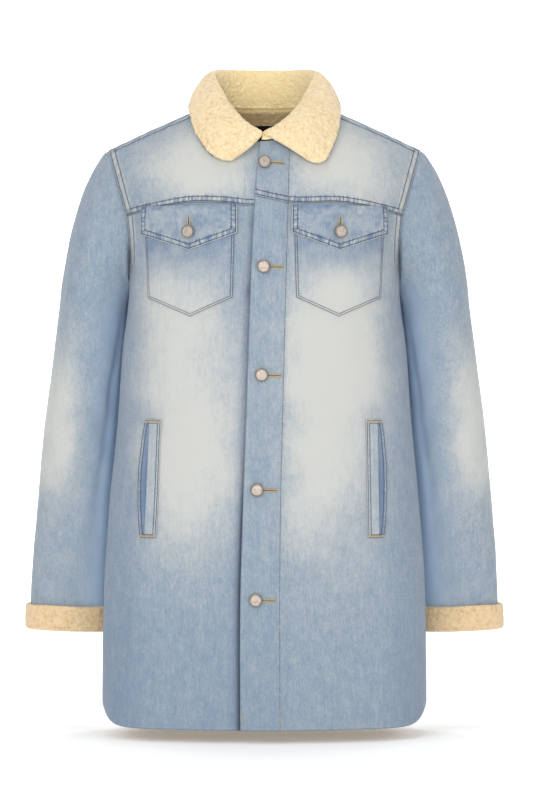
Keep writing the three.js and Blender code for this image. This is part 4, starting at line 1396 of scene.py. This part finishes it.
def welt(sign):
    u, v = shares(37, 121)
    topX, bottomX = weltCut["left" if sign > 0 else "right"]
    z = lerp(weltCut["top"], weltCut["bottom"], v) + 0 * u
    bow = weltCut["bow"] * np.sin(math.pi * v) ** 0.8 * u ** 1.5
    x = lerp(topX, bottomX, v) + weltCut["width"] * (u - 0.5) + bow
    grid = patchGrid(x, z, sign, weltCut["lift"])
    seamGap, place = sewnEdges(grid, top=True)
    # a folded strip with the hand opening as a sunk gap along its outer side, darkened with
    # painted shade
    stripEdge = 0.70 - 0.10 * np.sin(math.pi * v)
    ends = smoothStep(0.0, 0.03, v) * smoothStep(1, 0.97, v)
    gap = smoothStep(stripEdge, stripEdge + 0.05, u) * smoothStep(0.97, 0.88, u) * ends
    rise = 0.35 * (1 - gap) + 0.3 * puckers(seamGap * 2, place, 23) - 1.1 * gap
    rise = rise + 0.5 * bump(u, stripEdge - 0.06, 0.07) * ends
    crease = bump(u, stripEdge + 0.02, 0.035) * ends
    # painted shade: the gap and the crease beside it are darkened, most a little below the middle
    deep = np.clip(gap * (0.2 + 0.35 * bump(v, 0.58, 0.3)) + 0.7 * crease, 0, 1)
    outer, normals = patch("welt", sign, weltCut, grid, rise,
                           {"fade": 0.35 + 0.15 * smoothStep(0.6, 0.2, u) - 0.3 * gap,
                            "deep": deep, "seam": seamGap * 1.6, "place": place,
                            "gather": 0.25}, (0.8, 4.4), 3.0)
    for end in (2, -3):
        barTack(outer[end], normals[end])


# tan thread: bar tacks and buttonholes
tanParts, slitParts = [], []


def barTack(path, normals):
    # three close runs of thick thread along a short bar
    downwards = unit(np.cross(path[-1] - path[0], normals[0]))
    for shift in (-0.75, 0.0, 0.75):
        sew(tanParts, path + downwards * shift + normals * 0.25, normals, pitch=1.7,
            length=2.1, radius=0.46)


holeCut = {"length": 20.5, "width": 4.2, "flapLength": 12.5, "flapWidth": 3.8}


def buttonhole(place, start, direction, length, width, lift):
    # place turns (x, z) into a point of the cloth; thread is whipped along both lips
    ahead = np.array(direction, float)
    side = np.array([-ahead[1], ahead[0]])
    count = int(length / 0.62)
    for k in range(count):
        t = (k + 0.5) / count
        spot = np.array(start) + ahead * length * t
        for lip in (-1, 1):
            wob = 0.35 * (random.random() - 0.5)
            a = spot + side * lip * 0.35 + ahead * wob
            b = spot + side * lip * (width * (0.5 + 0.12 * random.random()) + 0.3)
            path = np.array([place(*a, lift), place(*((a + b) / 2), lift + 0.35),
                             place(*b, lift)])
            up = np.array([unit(place(*spot, lift + 1) - place(*spot, lift))] * 3)
            sew(tanParts, path, up, pitch=width * 0.4, length=width * 0.62, radius=0.3,
                lift=0.05)
    # the slit between the lips: a thin dark sliver of painted shade
    t = np.linspace(0, 1, 14)[:, None]
    halfWidth = 0.42 * np.sin(math.pi * np.clip(t, 0.03, 0.97)) ** 0.5
    u = np.array([-1, 1])[None, :]
    x = start[0] + ahead[0] * length * t + side[0] * halfWidth * u
    z = start[1] + ahead[1] * length * t + side[1] * halfWidth * u
    slitParts.append((place(x, z, lift + 0.12).reshape(-1, 3), quads(numbered(len(t), 2))))


def onLap(x, z, lift):
    x, z = np.asarray(x, float), np.asarray(z, float)
    return patchGrid(x, z, 1, lapLiftAt(x) + lift)


def onFlap(sign):
    def place(x, z, lift):
        x, z = np.asarray(x, float), np.asarray(z, float)
        return patchGrid(x, z, sign, flapCut["lift"] + lift) * np.array([sign, 1, 1])
    return place


for sign in (1, -1):
    pocket(sign)
    flap(sign)
for sign in (1, -1):
    welt(sign)


# buttons
buttonCut = {
    # radius and height along the profile from the shank's foot round the cap to its middle
    "r": [0, 3.0, 3.0, 3.4, 8.2, 8.9, 9.0, 8.8, 8.2, 7.5, 7.1, 6.7, 6.0, 4.6, 3.0, 1.4, 0],
    "h": [0, 0, 1.6, 2.1, 2.2, 2.5, 3.2, 4.2, 4.75, 4.9, 4.72, 4.5, 4.45, 4.6, 4.8, 4.92, 4.95],
}
frontButtons = {"z": [-73, -214, -361, -517, -667], "x": [0, -1, -4, -10, -12]}
flapButtonZ = -166


def buttonMaterial():
    material, shader, start = newMaterial("brushedShank", Metallic=0.8, Roughness=0.5)
    polar = attribute(start, "polar", "Vector")
    spot = start.node("ShaderNodeTexCoord", [], "Object")
    brushed = polar.noise((30, 0.35, 30), 2.0, 0.6)
    grime = spot.noise(2.4, 3.0, 0.6)
    radius = polar.part(1) * 1000
    rim = radius.eased(6.6, 7.3) * radius.eased(8.6, 7.8)
    edge = radius.eased(8.2, 9.0)
    base = (grime.eased(0.35, 0.75) * 0.6).mixed(colour(200, 187, 176), colour(146, 134, 128))
    # painted shade: a dark ring round the cap and a dark outline at its edge, standing in for the
    # shading of its rim
    base = (rim * 0.6 + edge * 0.9).limited().mixed(base, colour(80, 68, 64))
    rough = (grime - 0.5) * 0.3 + 0.5
    finishShader(start, shader, base, brushed * 0.03 + grime * 0.05, rough)
    return material


buttonMetal = buttonMaterial()


def button(name, place, x, z, tip):
    spin = np.linspace(0, 2 * math.pi, 56, endpoint=False)
    r = np.maximum(buttonCut["r"], 0.02)[:, None]
    h = np.array(buttonCut["h"])[:, None] + 0.1
    foot = place(x, z, 0.0)
    # each button sits a little askew on its shank
    axis = unit(unit(place(x, z, 1.0) - foot) + np.array([tip * 0.03, 0, 0.02 * tip]))
    right = unit(np.cross(axis, np.array([0, 0, 1.0])))
    up = np.cross(right, axis)
    ring = right * np.cos(spin)[None, :, None] + up * np.sin(spin)[None, :, None]
    points = foot + ring * r[..., None] + axis * h[..., None]
    faces = quads(numbered(len(r), len(spin), True))[:, turned]
    mesh = meshFrom(name, points.reshape(-1, 3) * mm, [faces])
    closeEnds(mesh)
    addField(mesh, "polar", stack(spin * 0.009, r * mm, 0.0).reshape(-1, 3))
    finishPiece(addObject(name, mesh), [buttonMetal], name)


def closeEnds(mesh):
    work = bmesh.new()
    work.from_mesh(mesh)
    bmesh.ops.holes_fill(work, edges=[e for e in work.edges if e.is_boundary], sides=0)
    bmesh.ops.recalc_face_normals(work, faces=work.faces)
    work.to_mesh(mesh)
    work.free()


for k, (z, x) in enumerate(zip(*frontButtons.values())):
    button(f"button_{k + 1}", onLap, x, z, (-1) ** k)
    buttonhole(onLap, (x + 6.6, z - 0.4), (1, -0.03), holeCut["length"], holeCut["width"], 0.1)
for sign in (1, -1):
    button(sideName("pocket_button", sign), onFlap(sign), flapCut["middle"], flapButtonZ, sign)
    buttonhole(onFlap(sign), (flapCut["middle"], flapButtonZ + 7), (0, 1), holeCut["flapLength"],
               holeCut["flapWidth"], 0.2)

# a few tan stitches tie off the lap's two vertical rows at the hem
for x in (leftFreeEdge(-832.0) + 3.5, along(facingLine, "z", "x", -832.0)):
    down = np.linspace(-816, -840, 13)
    path = onLap(x + 0 * down, down, 0.5)
    sew(tanParts, path, onLap(x + 0 * down, down, 1.5) - path, pitch=3.4, length=3.2, radius=0.6)

finishPiece(joined("seam_stitches", threadParts), [thread])
finishPiece(joined("buttonhole_thread", tanParts), [tanThread])
finishPiece(joined("buttonhole_slits", slitParts), [slitShade])
print("jacket made")


# stage
stageLook = {
    "floorZ": -0.862, "front": -8.0, "back": 9.6, "halfWidth": 8.0, "rise": 5.0, "bend": 1.6,
    "paper": (252, 252, 252), "paperGlow": 0.17, "world": 0.42,
    "lens": 144.6, "camera": (0.0028, -4.5, -0.395),
}


def backdrop():
    # pale floor that sweeps up behind in one curve
    bend = stageLook["bend"]
    turn = np.linspace(0, math.pi / 2, 24)
    y = np.concatenate([[stageLook["front"]], stageLook["back"] - bend + bend * np.sin(turn),
                        [stageLook["back"]]])
    z = np.concatenate([[0], bend - bend * np.cos(turn), [stageLook["rise"]]])
    x = np.linspace(-1, 1, 9) * stageLook["halfWidth"]
    grid = stack(x, y[:, None], stageLook["floorZ"] + z[:, None])
    faces = quads(numbered(len(y), len(x)))[:, turned]
    floor = addObject("backdrop", meshFrom("backdrop", grid.reshape(-1, 3), [faces]))
    floor.data.materials.append(plainMaterial(
        "palePaper", colour(*stageLook["paper"]), 40, 0.02, 0.004, Roughness=1.0,
        Emission_Color=(1, 1, 1, 1), Emission_Strength=stageLook["paperGlow"]))


def areaLight(name, place, aim, size, energy):
    data = bpy.data.lights.new(name, "AREA")
    data.shape, data.size, data.size_y, data.energy = "RECTANGLE", size[0], size[1], energy
    lamp = addObject(name, data)
    lamp.location = place
    lamp.rotation_euler = (Vector(aim) - Vector(place)).to_track_quat("-Z", "Y").to_euler()


backdrop()
lights = {
    "keyLight": ((-1.7, -3.6, 1.6), (0, 0, -0.35), (1.8, 2.2), 40),
    "frontLight": ((-0.3, -4.7, 0.1), (0, 0, -0.45), (1.8, 1.8), 38),
    "fillLight": ((2.2, -3.4, 0.4), (0, 0, -0.45), (2.2, 2.4), 23),
    "topLight": ((0, -0.4, 3.2), (0, 0, -0.4), (2.6, 2.2), 34),
    "backLeft": ((-3.6, 4.2, 2.4), (0, 7.6, -0.3), (3.0, 3.0), 380),
    "backRight": ((3.6, 4.2, 2.4), (0, 7.6, -0.3), (3.0, 3.0), 380),
}
for name, settings in lights.items():
    areaLight(name, *settings)

world = bpy.data.worlds.new("studio")
bpy.context.scene.world = world
world.use_nodes = True
background = world.node_tree.nodes["Background"].inputs
background["Color"].default_value = (1, 1, 1, 1)
background["Strength"].default_value = stageLook["world"]

cameraData = bpy.data.cameras.new("camera")
cameraData.lens = stageLook["lens"]
cameraData.sensor_width = 36
camera = addObject("camera", cameraData)
camera.location = stageLook["camera"]
camera.rotation_euler = (math.pi / 2, 0, 0)
bpy.context.scene.camera = camera
bpy.context.scene.view_settings.view_transform = "Standard"

bpy.context.view_layer.update()
